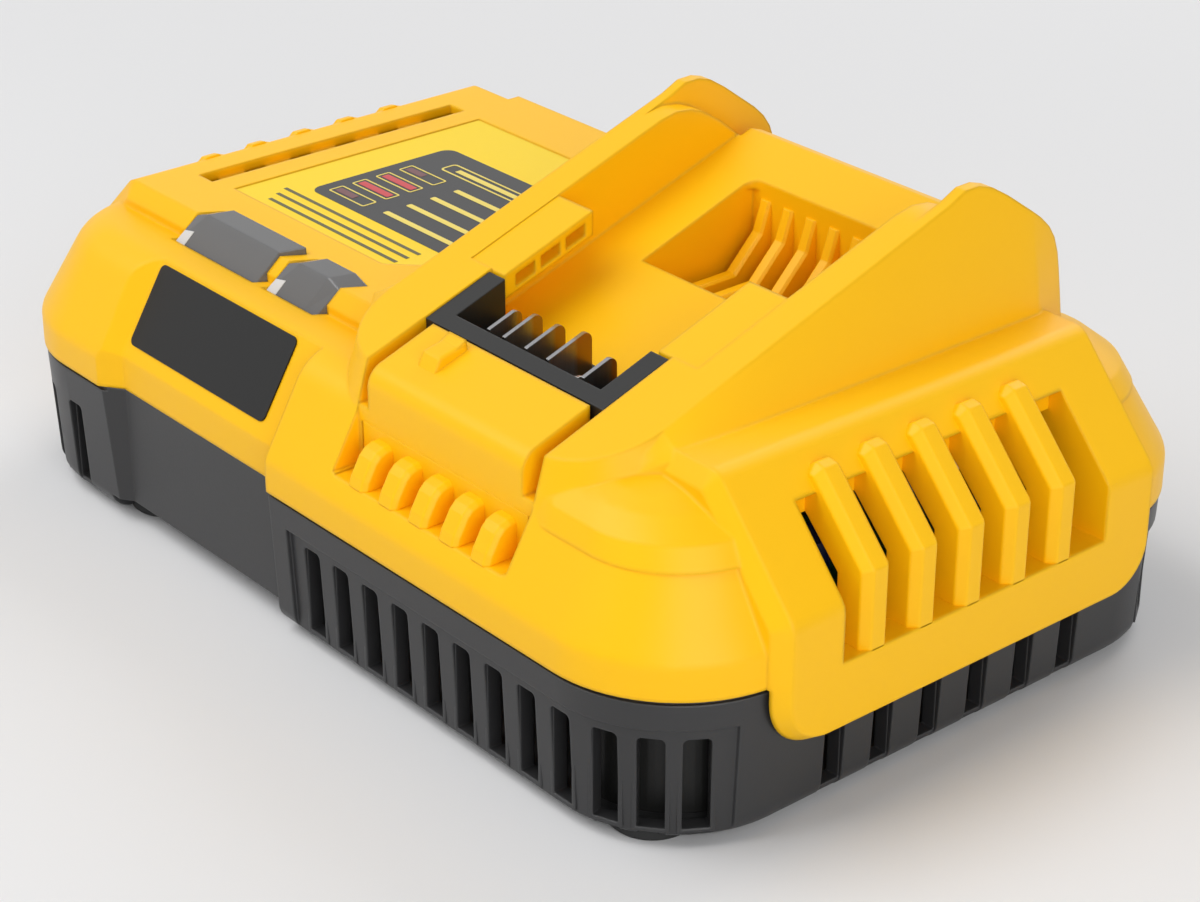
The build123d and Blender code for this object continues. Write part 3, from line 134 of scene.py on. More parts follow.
class EffectShelf:
    """Builds each shared node group once and hands it out."""

    flow_scale = 16.0
    streak_scale = (2600.0, 2600.0, 120.0)
    edge_samples = 6
    surface = {"Color": "NodeSocketColor", "Roughness": "NodeSocketFloat", "Height": "NodeSocketFloat"}

    @cache
    def get(self, effect: Effect) -> Tree:
        """Build a group at its first use.

        Args:
            effect: Which effect is wanted.

        Returns:
            The node group.
        """
        tree = bpy.data.node_groups.new(effect.value, "ShaderNodeTree")
        makers = {Effect.SKIN: self._skin, Effect.SOFT_EDGES: self._soft_edges, Effect.STREAKS: self._streaks}
        makers[effect](tree)
        return tree

    @staticmethod
    def _sockets(tree: Tree, takes: dict[str, float | tuple], gives: dict[str, str]) -> tuple[Node, Node]:
        """Add the named sockets and the group's two end nodes.

        Args:
            tree: The group.
            takes: Input name to its default, a number or a colour.
            gives: Output name to socket type.

        Returns:
            The group's input node and output node.
        """
        for name, default in takes.items():
            kind = "NodeSocketColor" if isinstance(default, tuple) else "NodeSocketFloat"
            tree.interface.new_socket(name, in_out="INPUT", socket_type=kind).default_value = default
        for name, kind in gives.items():
            tree.interface.new_socket(name, in_out="OUTPUT", socket_type=kind)
        return tree.nodes.new("NodeGroupInput"), tree.nodes.new("NodeGroupOutput")

    @staticmethod
    def _tone(tree: Tree, noise: Socket, amount: Socket) -> Socket:
        """Lighter and darker patches: 1 plus amount times what the noise lies above its middle.

        Args:
            tree: The group.
            noise: The noise, from 0 to 1.
            amount: How strong the patches are.

        Returns:
            The factor for a colour.
        """
        centred = add_node(tree, "Math", {0: noise, 1: 0.5}, operation="SUBTRACT").outputs[0]
        return add_node(tree, "Math", {0: centred, 1: amount, 2: 1.0}, operation="MULTIPLY_ADD").outputs[0]

    def _skin(self, tree: Tree) -> None:
        """Moulded plastic: faint flow marks in the colour, and a fine sparked grain.

        Args:
            tree: The empty group to fill.
        """
        takes = {"Color": (0.5, 0.5, 0.5, 1.0), "Roughness": 0.4, "Mottle": 0.05,
                 "Grain Scale": 2200.0, "Grain Shine": 0.06}
        start, end = self._sockets(tree, takes, self.surface)
        given = start.outputs
        place = add_node(tree, "TexCoord", {}).outputs["Object"]
        flow = add_node(tree, "TexNoise", {"Vector": place, "Scale": self.flow_scale, "Detail": 3.0})
        grain = add_node(tree, "TexNoise", {"Vector": place, "Scale": given["Grain Scale"], "Detail": 2.0})
        height = grain.outputs["Fac"]
        tone = self._tone(tree, flow.outputs["Fac"], given["Mottle"])
        tint = add_node(tree, "VectorMath", {0: given["Color"], "Scale": tone}, operation="SCALE")
        shine = add_node(tree, "Math", {0: height, 1: given["Grain Shine"], 2: given["Roughness"]},
                         operation="MULTIPLY_ADD")
        fill(tree, end, {"Color": tint.outputs[0], "Roughness": shine.outputs[0], "Height": height})

    def _soft_edges(self, tree: Tree) -> None:
        """Rounded look on sharp edges, and a mask that is 1 along them.

        The mask is the gain times 1 less the cosine between the rounded and the plain normal; finishes paint
        their edge highlight through it.

        Args:
            tree: The empty group to fill.
        """
        takes = {"Radius": 0.0008, "Gain": 3.0}
        start, end = self._sockets(tree, takes, {"Normal": "NodeSocketVector", "Mask": "NodeSocketFloat"})
        bevel = add_node(tree, "Bevel", {"Radius": start.outputs["Radius"]}, samples=self.edge_samples)
        plain = add_node(tree, "NewGeometry", {})
        cosine = add_node(tree, "VectorMath", {0: bevel.outputs[0], 1: plain.outputs["Normal"]},
                          operation="DOT_PRODUCT")
        away = add_node(tree, "Math", {0: 1.0, 1: cosine.outputs["Value"]}, operation="SUBTRACT")
        mask = add_node(tree, "Math", {0: away.outputs[0], 1: start.outputs["Gain"]},
                        operation="MULTIPLY", use_clamp=True)
        fill(tree, end, {"Normal": bevel.outputs[0], "Mask": mask.outputs[0]})

    def _streaks(self, tree: Tree) -> None:
        """Fine lines left by rolling or grinding, stretched along Z.

        Args:
            tree: The empty group to fill.
        """
        takes = {"Color": (0.6, 0.6, 0.6, 1.0), "Roughness": 0.3, "Contrast": 0.2}
        start, end = self._sockets(tree, takes, self.surface)
        given = start.outputs
        place = add_node(tree, "TexCoord", {}).outputs["Object"]
        stretch = add_node(tree, "Mapping", {"Vector": place, "Scale": self.streak_scale})
        lines = add_node(tree, "TexNoise", {"Vector": stretch.outputs[0], "Scale": 1.0, "Detail": 2.0})
        height = lines.outputs["Fac"]
        tone = self._tone(tree, height, given["Contrast"])
        tint = add_node(tree, "VectorMath", {0: given["Color"], "Scale": tone}, operation="SCALE")
        rough = add_node(tree, "Math", {0: given["Roughness"], 1: tone}, operation="MULTIPLY")
        fill(tree, end, {"Color": tint.outputs[0], "Roughness": rough.outputs[0], "Height": height})


EFFECTS = EffectShelf()


def placed_group(tree: Tree, effect: Effect, values: dict[str, object]) -> Node:
    """Put a shared effect into a material's nodes, with its own values."""
    return add_node(tree, "Group", values, node_tree=EFFECTS.get(effect))


def new_material(name: str) -> tuple[Material, Tree, Node]:
    """Start a node material.

    Args:
        name: Its name.

    Returns:
        The material, its nodes and its Principled shader.
    """
    material = bpy.data.materials.new(name)
    material.use_nodes = True
    return material, material.node_tree, material.node_tree.nodes["Principled BSDF"]


def mixed(tree: Tree, share: Socket, base: Socket, other: Colour) -> Socket:
    """Mix a changing colour with a share of a plain one, which is given in display values."""
    mix = add_node(tree, "Mix", {"Factor": share, "A": base, "B": linear(other)}, data_type="RGBA")
    return mix.outputs["Result"]


def feed_shader(tree: Tree, shader: Node, colour: Socket, surface: Node, edges: Node, depth: float,
                plain: dict[str, float]) -> None:
    """Feed colour, roughness and relief to a shader, and set its plain values.

    Args:
        tree: The material's nodes.
        shader: Its Principled shader.
        colour: The colour.
        surface: Group that gives roughness and height.
        edges: Group that gives the rounded normal.
        depth: Depth of the relief in millimetres.
        plain: Socket name to a value that is the same all over.
    """
    relief = add_node(tree, "Bump", {"Strength": 1.0, "Distance": depth * MM,
                                     "Height": surface.outputs["Height"], "Normal": edges.outputs["Normal"]})
    fill(tree, shader, {"Base Color": colour, "Roughness": surface.outputs["Roughness"],
                        "Normal": relief.outputs[0]} | plain)


# --- finishes ---


@dataclass(frozen=True)
class MouldedFinish:
    """Moulded plastic, nylon, epoxy, ferrite or rubber, with softened edges.

    Its colours are display values, and its lengths are in millimetres.
    """

    name: str
    colour: Colour
    roughness: float = 0.38
    # colour mixed in along sharp edges: a painted highlight, and on the board the tan of its cut edge
    edge_highlight_and_tint: Colour | None = None
    edge_radius: float = 0.8
    edge_gain: float = 1.6
    mottle: float = 0.05
    grain_scale: float = 2200.0
    grain_depth: float = 0.012
    grain_shine: float = 0.06
    specular: float = 0.5
    transmission: float = 0.0
    ior: float = 1.5

    def build(self) -> Material:
        """Make the material.

        Returns:
            The finished material.
        """
        material, tree, shader = new_material(self.name)
        skin = placed_group(tree, Effect.SKIN, {
            "Color": linear(self.colour), "Roughness": self.roughness, "Mottle": self.mottle,
            "Grain Scale": self.grain_scale, "Grain Shine": self.grain_shine})
        edges = placed_group(tree, Effect.SOFT_EDGES, {
            "Radius": self.edge_radius * MM, "Gain": self.edge_gain})
        colour = skin.outputs["Color"]
        # painted highlight: a lighter colour mixed in along the sharp edges
        if self.edge_highlight_and_tint is not None:
            colour = mixed(tree, edges.outputs["Mask"], colour, self.edge_highlight_and_tint)
        feed_shader(tree, shader, colour, skin, edges, self.grain_depth, {
            "Specular IOR Level": self.specular, "Transmission Weight": self.transmission, "IOR": self.ior})
        return material


@dataclass(frozen=True)
class PrintFinish(MouldedFinish):
    """Printed film or ink, with hardly any grain."""

    roughness: float = 0.35
    edge_radius: float = 0.05
    edge_gain: float = 1.0
    grain_depth: float = 0.002


@dataclass(frozen=True)
class ClearFinish(MouldedFinish):
    """Smoked or clear moulding that light passes through."""

    edge_radius: float = 0.5
    edge_gain: float = 3.0
    mottle: float = 0.04
    grain_scale: float = 900.0
    grain_depth: float = 0.003
    grain_shine: float = 0.03


@dataclass(frozen=True)
class MetalFinish:
    """Rolled, drawn or plated metal with fine lines and softened edges.

    Its colours are display values, and its lengths are in millimetres.
    """

    name: str
    colour: Colour
    roughness: float
    contrast: float
    tip_colour: Colour | None = None
    tip_start: float = 0.0
    tip_blend: float = 1.2
    edge_radius: float = 0.25
    line_depth: float = 0.004

    def build(self) -> Material:
        """Make the material.

        Returns:
            The finished material.
        """
        material, tree, shader = new_material(self.name)
        lines = placed_group(tree, Effect.STREAKS, {
            "Color": linear(self.colour), "Roughness": self.roughness, "Contrast": self.contrast})
        edges = placed_group(tree, Effect.SOFT_EDGES, {"Radius": self.edge_radius * MM})
        colour = lines.outputs["Color"]
        if self.tip_colour is not None:
            place = add_node(tree, "TexCoord", {}).outputs["Object"]
            split = add_node(tree, "SeparateXYZ", {0: place})
            share = add_node(tree, "MapRange", {"Value": split.outputs["Y"], "From Min": self.tip_start * MM,
                                                "From Max": (self.tip_start + self.tip_blend) * MM})
            colour = mixed(tree, share.outputs[0], colour, self.tip_colour)
        feed_shader(tree, shader, colour, lines, edges, self.line_depth, {"Metallic": 1.0})
        return material


# A moulding's third colour is painted along its sharp edges: a painted highlight, on the board the tan of its
# cut edge.
SHELL = MouldedFinish("yellow_moulding", (253, 193, 6), 0.38, (255, 206, 40), 1.3, 0.7, 0.03,
                      grain_depth=0.006, specular=0.28)
FINISHES: dict[str, MouldedFinish | MetalFinish] = {
    "shell": SHELL,
    "fin": replace(SHELL, name="yellow_fin_moulding", edge_radius=0.45),
    "tray": MouldedFinish("charcoal_moulding", (43, 43, 44), 0.38, (80, 80, 81), 0.7, 1.0, 0.10, 1800.0),
    "block": MouldedFinish("black_block_moulding", (22, 22, 21), 0.38, (52, 52, 52), 0.5, 0.9, 0.06,
                           specular=0.35),
    "nylon": MouldedFinish("black_nylon", (38, 38, 40), 0.5, (62, 62, 64), 0.5),
    "rubber": MouldedFinish("foot_rubber", (30, 30, 30), 0.75, (50, 50, 50), 0.5, 1.0, 0.15, 900.0, 0.03),
    "ferrite": MouldedFinish("sintered_ferrite", (58, 58, 62), 0.6, (84, 84, 86), 0.4, 1.0, 0.2, 1400.0,
                             0.03),
    "epoxy": MouldedFinish("black_epoxy", (34, 34, 36), 0.45, (60, 60, 60), 0.3),
    "board": MouldedFinish("solder_mask", (24, 88, 52), 0.3, (150, 140, 96), 0.3, 1.4, 0.25),
    "tape": MouldedFinish("winding_tape", (214, 170, 40), 0.25, None, 0.3, 1.0, 0.18),
    "sleeve": MouldedFinish("capacitor_sleeve", (30, 42, 92), 0.22, None, 0.6, 1.0, 0.08),
    "film": MouldedFinish("film_case", (222, 178, 60), 0.3, None, 0.5, 1.0, 0.08),
    "header": MouldedFinish("white_nylon", (222, 220, 208), 0.5, None, 0.3, 1.0, 0.06),
    "lead": MouldedFinish("red_lead", (168, 24, 20), 0.35, None, 0.3, 1.0, 0.08),
    "fan": MouldedFinish("fan_moulding", (36, 36, 38), 0.42, (62, 62, 64), 0.4, 1.0, 0.08),
    # painted glint: a pale film low on a lens's left ramp, standing for a reflection
    "painted_glint": MouldedFinish("painted_glint_film", (214, 214, 214), 0.2, None, 0.1),
    "top_print": PrintFinish("lemon_film", (248, 212, 34), 0.42, None, 0.15, mottle=0.02, specular=0.3),
    "panel_print": PrintFinish("grey_film", (56, 56, 57), 0.4, None, 0.1, specular=0.3),
    "plate_print": PrintFinish("black_film", (18, 18, 18), 0.4, None, 0.15, specular=0.3),
    "bar_print": PrintFinish("pale_ink", (236, 214, 96)),
    "red_print": PrintFinish("red_ink", (196, 52, 58), mottle=0.08),
    "dim_print": PrintFinish("dim_ink", (104, 56, 58), mottle=0.08),
    "note_print": PrintFinish("dark_ink", (84, 78, 40), 0.4),
    "lens": ClearFinish("smoked_lens", (120, 120, 121), 0.16, transmission=0.35),
    "clear": ClearFinish("clear_epoxy", (235, 240, 236), 0.05, transmission=0.9),
    "glass": ClearFinish("fuse_glass", (225, 232, 228), 0.04, transmission=0.85),
    "blade": MetalFinish("blade_plating", (150, 150, 152), 0.30, 0.3, (150, 124, 84), -41.5),
    "contact": MetalFinish("contact_plating", (205, 205, 205), 0.22, 0.2),
    "screw": MetalFinish("zinc_plating", (150, 152, 156), 0.35, 0.35),
    "sink": MetalFinish("extruded_aluminium", (196, 198, 200), 0.38, 0.3),
    "copper": MetalFinish("enamelled_copper", (184, 104, 54), 0.32, 0.45),
    "bronze": MetalFinish("sintered_bronze", (176, 134, 78), 0.45, 0.3),
    "shaft": MetalFinish("ground_steel", (200, 200, 204), 0.18, 0.15),
}


@cache
def material_of(finish: str) -> Material:
    """A finish's material, built at its first use."""
    return FINISHES[finish].build()


def wear_only(obj: Piece, material: Material) -> None:
    """Give an object one material."""
    obj.data.materials.clear()
    obj.data.materials.append(material)


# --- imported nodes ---

NODE_FINISHES = {
    "terminal_block": "block", "power_blades": "blade", "signal_contact": "contact",
    "charge_lens": "lens", "fault_lens": "lens", "front_label": "plate_print", "top_label": "top_print",
    "rubber_feet": "rubber", "circuit_board": "board", "board_screws": "screw",
    "transformer_core": "ferrite", "transformer_bobbin": "nylon", "transformer_winding": "tape",
    "choke_core": "ferrite", "choke_winding": "copper", "input_capacitor": "sleeve",
    "output_capacitors": "sleeve", "film_capacitor": "film", "bridge_rectifier": "epoxy",
    "fuse": "glass", "primary_heat_sink": "sink", "secondary_heat_sink": "sink",
    "switching_transistors": "epoxy", "output_rectifiers": "epoxy", "mains_header": "header",
    "output_leads": "lead", "indicator_board": "board", "indicator_leds": "clear",
    "air_duct": "nylon", "fan_frame": "fan", "fan_bearing": "bronze", "fan_stator": "copper",
    "fan_shaft": "shaft", "fan_rotor": "fan", "fan_screws": "screw", "housing_screws": "screw",
    "cord_gland": "rubber", "upper_housing": "shell", "lower_housing": "tray",
}


def dress_nodes(nodes: dict[str, Piece]) -> None:
    """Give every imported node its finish, also where a piece stands for it.

    Args:
        nodes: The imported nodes.
    """
    for name, node in nodes.items():
        wear_only(node, material_of(NODE_FINISHES[name]))
    LOG.info("dressed %d packed nodes", len(nodes))


# --- meshes ---


def new_object(name: str, data: bpy.types.ID) -> Piece:
    """Put some data into the scene as an object.

    Args:
        name: The object's name.
        data: Its mesh, lamp or camera.

    Returns:
        The object.
    """
    obj = bpy.data.objects.new(name, data)
    bpy.context.scene.collection.objects.link(obj)
    return obj


def new_mesh(name: str, points: np.ndarray, faces: list) -> bpy.types.Mesh:
    """Make a mesh.

    Args:
        name: Its name.
        points: N by 3 array of places.
        faces: Lists of point numbers.

    Returns:
        The mesh.
    """
    mesh = bpy.data.meshes.new(name)
    mesh.from_pydata(points.tolist(), [], faces)
    mesh.validate()
    mesh.update()
    return mesh


def face_outwards(mesh: bpy.types.Mesh) -> None:
    """Turn every face of a closed mesh outwards.

    Args:
        mesh: The mesh.
    """
    work = bmesh.new()
    work.from_mesh(mesh)
    bmesh.ops.recalc_face_normals(work, faces=work.faces)
    work.to_mesh(mesh)
    work.free()


def mesh_piece(name: str, points: np.ndarray, faces: list, finish: str, turn: bool = False) -> Piece:
    """Make a flat-shaded piece of the charger's body.

    Args:
        name: The piece's name.
        points: N by 3 array of places.
        faces: Lists of point numbers.
        finish: Its finish.
        turn: Whether the faces, which close it, still have to be turned outwards.

    Returns:
        The piece.
    """
    piece = new_object(name, new_mesh(name, points, faces))
    piece.data.shade_flat()
    if turn:
        face_outwards(piece.data)
    wear_only(piece, material_of(finish))
    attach(piece, BODY)
    return piece


def soften(piece: Piece, width: float) -> None:
    """Round a piece's edges a little.

    Args:
        piece: The piece.
        width: Width of the rounding in millimetres.
    """
    bevel = piece.modifiers.new("edge_round", "BEVEL")
    bevel.width = width * MM
    bevel.segments = 2
    bevel.limit_method = "ANGLE"
    bevel.angle_limit = math.radians(25)
    bevel.harden_normals = False


def ring_faces(count: int, rings: int, endless: bool = False) -> list[list[int]]:
    """Faces between rings that follow each other, each of as many points.

    A quad joins points i and i + 1 of a ring to the same two of the next. An endless band goes on from
    its last ring to its first, and any other is closed by one face at each end.

    Args:
        count: Points in a ring.
        rings: Number of rings.
        endless: Whether the band runs back into itself.

    Returns:
        Lists of point numbers.
    """
    index = np.arange(count)
    after = np.roll(index, -1)
    faces = []
    for ring in range(rings if endless else rings - 1):
        here, there = ring * count, (ring + 1) % rings * count
        faces += np.stack([here + index, here + after, there + after, there + index], axis=1).tolist()
    if not endless:
        faces += [index[::-1].tolist(), (index + (rings - 1) * count).tolist()]
    return faces


def joined(solids: list[tuple[np.ndarray, list]]) -> tuple[np.ndarray, list]:
    """Put several solids' arrays together, each one's numbers moved on past the points before it.

    Args:
        solids: Points and faces of each.

    Returns:
        All points and all faces.
    """
    faces, total = [], 0
    for points, sides in solids:
        faces += [[number + total for number in side] for side in sides]
        total += len(points)
    return np.vstack([points for points, _ in solids]), faces


# --- outlines and what is carried along them ---


def boxed(x0: float, x1: float, y0: float, y1: float) -> Outline:
    """Corners of a rectangle, anticlockwise."""
    return (x0, y0), (x1, y0), (x1, y1), (x0, y1)


def metres(outline: Outline) -> np.ndarray:
    """An outline in millimetres as an array in metres."""
    return np.array(outline, float) * MM


def rounded_box(box: Box, radius: float, steps: int) -> np.ndarray:
    """Rectangle with rounded corners, from millimetres to metres.

    Each corner becomes a quarter circle that touches both of its sides.

    Args:
        box: Its ends along X and along Y.
        radius: Radius of every corner.
        steps: Points less one on each corner.

    Returns:
        4 times (steps + 1) by 2 array, anticlockwise.
    """
    x0, x1, y0, y1 = box
    middles = np.array(boxed(x0 + radius, x1 - radius, y0 + radius, y1 - radius))
    starts = np.radians([180.0, 270.0, 0.0, 90.0])
    angle = starts[:, None] + np.linspace(0, math.pi / 2, steps + 1)[None, :]
    arcs = middles[:, None, :] + radius * np.stack([np.cos(angle), np.sin(angle)], axis=-1)
    return metres(arcs.reshape(-1, 2))


def shrunk(box: Box, by: float) -> Box:
    """A box moved in by the same step on all four sides."""
    x0, x1, y0, y1 = box
    return x0 + by, x1 - by, y0 + by, y1 - by


def inset_outline(outline: np.ndarray, depths: np.ndarray) -> np.ndarray:
    """Move each side of an outline inwards by its own depth.

    Side i runs from corner i to corner i + 1. A moved corner is where its two moved sides cross, which
    is the solution of two linear equations, normal dot place = old value plus depth.

    Args:
        outline: N by 2 array, either way round.
        depths: How far each side moves in.

    Returns:
        N by 2 array.
    """
    after = np.roll(outline, -1, axis=0)
    way = after - outline
    area = (outline[:, 0] * after[:, 1] - after[:, 0] * outline[:, 1]).sum()
    normal = np.stack([-way[:, 1], way[:, 0]], axis=1) * np.sign(area)
    normal /= np.linalg.norm(normal, axis=1, keepdims=True)
    value = (normal * outline).sum(1) + depths
    pairs = np.stack([np.roll(normal, 1, axis=0), normal], axis=1)
    return np.linalg.solve(pairs, np.stack([np.roll(value, 1), value], axis=1)[:, :, None])[:, :, 0]


@dataclass(frozen=True)
class Facing:
    """A plane in metres: its origin and its two directions. Its normal points outwards."""

    origin: Place = (0.0, 0.0, 0.0)
    along: Place = (1.0, 0.0, 0.0)
    up: Place = (0.0, 1.0, 0.0)

    def lift(self, flat: np.ndarray, height: float) -> np.ndarray:
        """Carry an N by 2 array onto the plane, raised along its normal, as an N by 3 array."""
        along, up = np.array(self.along), np.array(self.up)
        return np.array(self.origin) + flat[:, :1] * along + flat[:, 1:] * up + height * np.cross(along, up)


def slab(name: str, outline: np.ndarray, facing: Facing, span: Span, finish: str) -> Piece:
    """Thin plate: an outline in metres carried up a plane's normal, between heights in millimetres."""
    rings = [facing.lift(outline, height * MM) for height in span]
    return mesh_piece(name, np.vstack(rings), ring_faces(len(outline), 2), finish)


def frame_slab(name: str, outer: np.ndarray, inner: np.ndarray, facing: Facing, span: Span,
               finish: str) -> Piece:
    """Thin closed frame between two outlines of as many points.

    Args:
        name: Name of the piece.
        outer: N by 2 array, anticlockwise.
        inner: N by 2 array inside it, point for point.
        facing: The plane it lies on.
        span: Heights of its lower and upper side, in millimetres.
        finish: Its finish.

    Returns:
        The new piece.
    """
    low, high = span
    corners = ((outer, low), (outer, high), (inner, high), (inner, low))
    rings = [facing.lift(outline, height * MM) for outline, height in corners]
    return mesh_piece(name, np.vstack(rings), ring_faces(len(outer), 4, endless=True), finish)


class Run(Enum):
    """The axis that an outline is carried along, as its column in a row of X, Y and Z."""

    X = 0
    Y = 1


def carried(run: Run, stations: list[tuple[float, np.ndarray]]) -> tuple[np.ndarray, list]:
    """Points and faces of outlines of as many points, each at its own place along an axis."""
    rings = [np.insert(ring, run.value, place, axis=1) for place, ring in stations]
    return np.vstack(rings), ring_faces(len(rings[0]), len(rings))


@dataclass(frozen=True)
class Prism:
    """An outline carried straight along an axis, in millimetres."""

    outline: Outline
    run: Run
    span: Span

    def arrays(self) -> tuple[np.ndarray, list]:
        """Its points in metres and its faces."""
        full = metres(self.outline)
        return carried(self.run, [(place * MM, full) for place in self.span])

    def build(self, name: str, finish: str) -> Piece:
        """Make it as a piece."""
        return mesh_piece(name, *self.arrays(), finish, turn=True)


@dataclass(frozen=True)
class Fin:
    """A bar whose open sides are bevelled towards both of its ends, in millimetres.

    Its outline lies across the run, and open_sides holds 1 for each side of it that is bevelled.
    """

    outline: Outline
    open_sides: tuple[int, ...]
    run: Run
    width: float
    bevel: float
    rounding: float = 0.3
    row_count: int = 5

    def build(self, name: str, middle: float, finish: str) -> Piece:
        """Make one bar.

        Args:
            name: Name of the piece.
            middle: Middle of its width.
            finish: Its finish.

        Returns:
            The new piece.
        """
        full = metres(self.outline)
        small = inset_outline(full, np.array(self.open_sides) * self.bevel * MM)
        half, flat = self.width / 2, self.width / 2 - self.bevel
        steps = ((-half, small), (-flat, full), (flat, full), (half, small))
        stations = [((middle + step) * MM, ring) for step, ring in steps]
        bar = mesh_piece(name, *carried(self.run, stations), finish, turn=True)
        if self.rounding:
            soften(bar, self.rounding)
        return bar

    def row(self, name: str, first: float, pitch: float) -> Iterator[Piece]:
        """Make a row of fins one by one, the first at its place and each one a pitch further."""
        for index in range(self.row_count):
            yield self.build(f"{name}_{index}", first + pitch * index, "fin")


def carve(piece: Piece, cuts: tuple[Prism, ...]) -> None:
    """Take prisms out of a piece and keep the result as its mesh.

    Args:
        piece: The piece, a closed mesh.
        cuts: The prisms.
    """
    mesh = new_mesh("cutter", *joined([cut.arrays() for cut in cuts]))
    face_outwards(mesh)
    tool = new_object("cutter", mesh)
    cutting = piece.modifiers.new("cut", "BOOLEAN")
    cutting.operation = "DIFFERENCE"
    cutting.solver = "EXACT"
    cutting.object = tool
    bpy.context.view_layer.update()
    result = bpy.data.meshes.new_from_object(piece.evaluated_get(bpy.context.evaluated_depsgraph_get()))
    piece.modifiers.remove(cutting)
    material = piece.data.materials[0]
    piece.data = result
    wear_only(piece, material)
    bpy.data.objects.remove(tool)


# --- sub-assemblies ---

VENT_SPAN = (-37.38, 36.98)
UPPER_CUTS = (
    # the solid's own fins in the right vent, and above the slope there
    Prism(((98.1, 36.02), (130.0, 36.02), (130.0, 74.0), (102.98, 72.75), (110.06, 64.69), (98.1, 64.69)),
          Run.Y, VENT_SPAN),
    # the same in the left vent
    Prism(((-102.6, 36.02), (-130.0, 36.02), (-130.0, 72.0), (-101.6, 69.44), (-106.72, 64.69),
           (-102.6, 64.69)), Run.Y, VENT_SPAN),
    # channel along the left plateau, over the fins
    Prism(boxed(-93.19, -87.51, 67.0, 72.0), Run.Y, VENT_SPAN),
    # the solid's own fins in the bay floor's well
    Prism(boxed(-0.48, 31.48, 60.0, 84.0), Run.X, (23.52, 63.48)),
    # the same in the small vent under the stop
    Prism(boxed(-80.0, -69.82, 46.3, 60.5), Run.X, (16.0, 71.0)),
)


@dataclass
class SmoothShell:
    """A moulded shell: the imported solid's surface, joined up so that its curves shade smoothly."""

    node: str
    finish: str
    cuts: tuple[Prism, ...] = ()
    crease: float = 24.0
    weld: float = 0.002
    flat_weight: int = 80

    def build(self, nodes: dict[str, Piece]) -> Piece:
        """Copy the node, merge its loose triangles and mark its creases.

        Args:
            nodes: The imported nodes.

        Returns:
            The piece that stands for the node.
        """
        source = nodes[self.node].data
        places = np.zeros(len(source.vertices) * 3)
        source.vertices.foreach_get("co", places)
        places = places.reshape(-1, 3)
        keys = np.round(places / (self.weld * MM)).astype(np.int64)
        _, first, number = np.unique(keys, axis=0, return_index=True, return_inverse=True)
        corners = np.zeros(len(source.loops), np.int64)
        source.loops.foreach_get("vertex_index", corners)
        triangles = number.reshape(-1)[corners].reshape(-1, 3)
        whole = (triangles != np.roll(triangles, 1, axis=1)).all(axis=1)
        piece = mesh_piece(f"{self.node}_skin", places[first], triangles[whole].tolist(), self.finish)
        if self.cuts:
            carve(piece, self.cuts)
        piece.data.shade_smooth()
        piece.data.set_sharp_from_angle(angle=math.radians(self.crease))
        weighted = piece.modifiers.new("flat_faces_stay_flat", "WEIGHTED_NORMAL")
        weighted.keep_sharp = True
        weighted.mode = "FACE_AREA"
        weighted.weight = self.flat_weight
        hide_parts(self.node)
        return piece


@dataclass
class EndVents:
    """Fins and inner walls of the vents at both ends."""

    right_fin: Fin = Fin(
        ((124.5, 35.5), (124.5, 53.4), (109.9, 69.3), (107.6, 69.7), (105.0, 68.0), (105.0, 61.0),
         (107.5, 59.0), (116.3, 50.2), (116.3, 35.5)), (1, 1, 1, 1, 0, 0, 0, 0, 0), Run.Y, 7.2, 1.8)
    left_fin: Fin = Fin(
        ((-124.5, 35.5), (-124.5, 49.6), (-106.0, 66.6), (-103.3, 69.3), (-101.0, 69.75), (-100.8, 64.8),
         (-116.3, 48.6), (-116.3, 35.5)), (1, 1, 1, 1, 0, 0, 0, 0), Run.Y, 7.24, 1.8)
    first: float = -28.3
    pitch: float = 13.15
    right_back: Prism = Prism(boxed(104.6, 107.0, 59.5, 66.5), Run.Y, (-37.3, 36.9))
    right_side: Outline = (
        (104.6, 34.5), (124.2, 34.5), (124.2, 48.3), (110.0, 64.3), (108.1, 66.2), (104.6, 66.2))
    left_side: Outline = ((-103.0, 34.5), (-124.2, 34.5), (-124.2, 48.2), (-106.9, 64.2), (-103.0, 64.4))
    front_wall: Span = (-39.8, -37.36)
    rear_wall: Span = (36.96, 39.4)

    def build(self) -> list[Piece]:
        """Make the fins and the walls behind them.

        Returns:
            The new pieces.
        """
        pairs = zip(self.right_fin.row("right_fin", self.first, self.pitch),
                    self.left_fin.row("left_fin", self.first, self.pitch))
        made = [fin for pair in pairs for fin in pair]
        made.append(self.right_back.build("right_vent_back", "fin"))
        for side, outline in (("left", self.left_side), ("right", self.right_side)):
            for end, span in (("front", self.front_wall), ("rear", self.rear_wall)):
                made.append(Prism(outline, Run.Y, span).build(f"{side}_vent_side_{end}", "fin"))
        return made


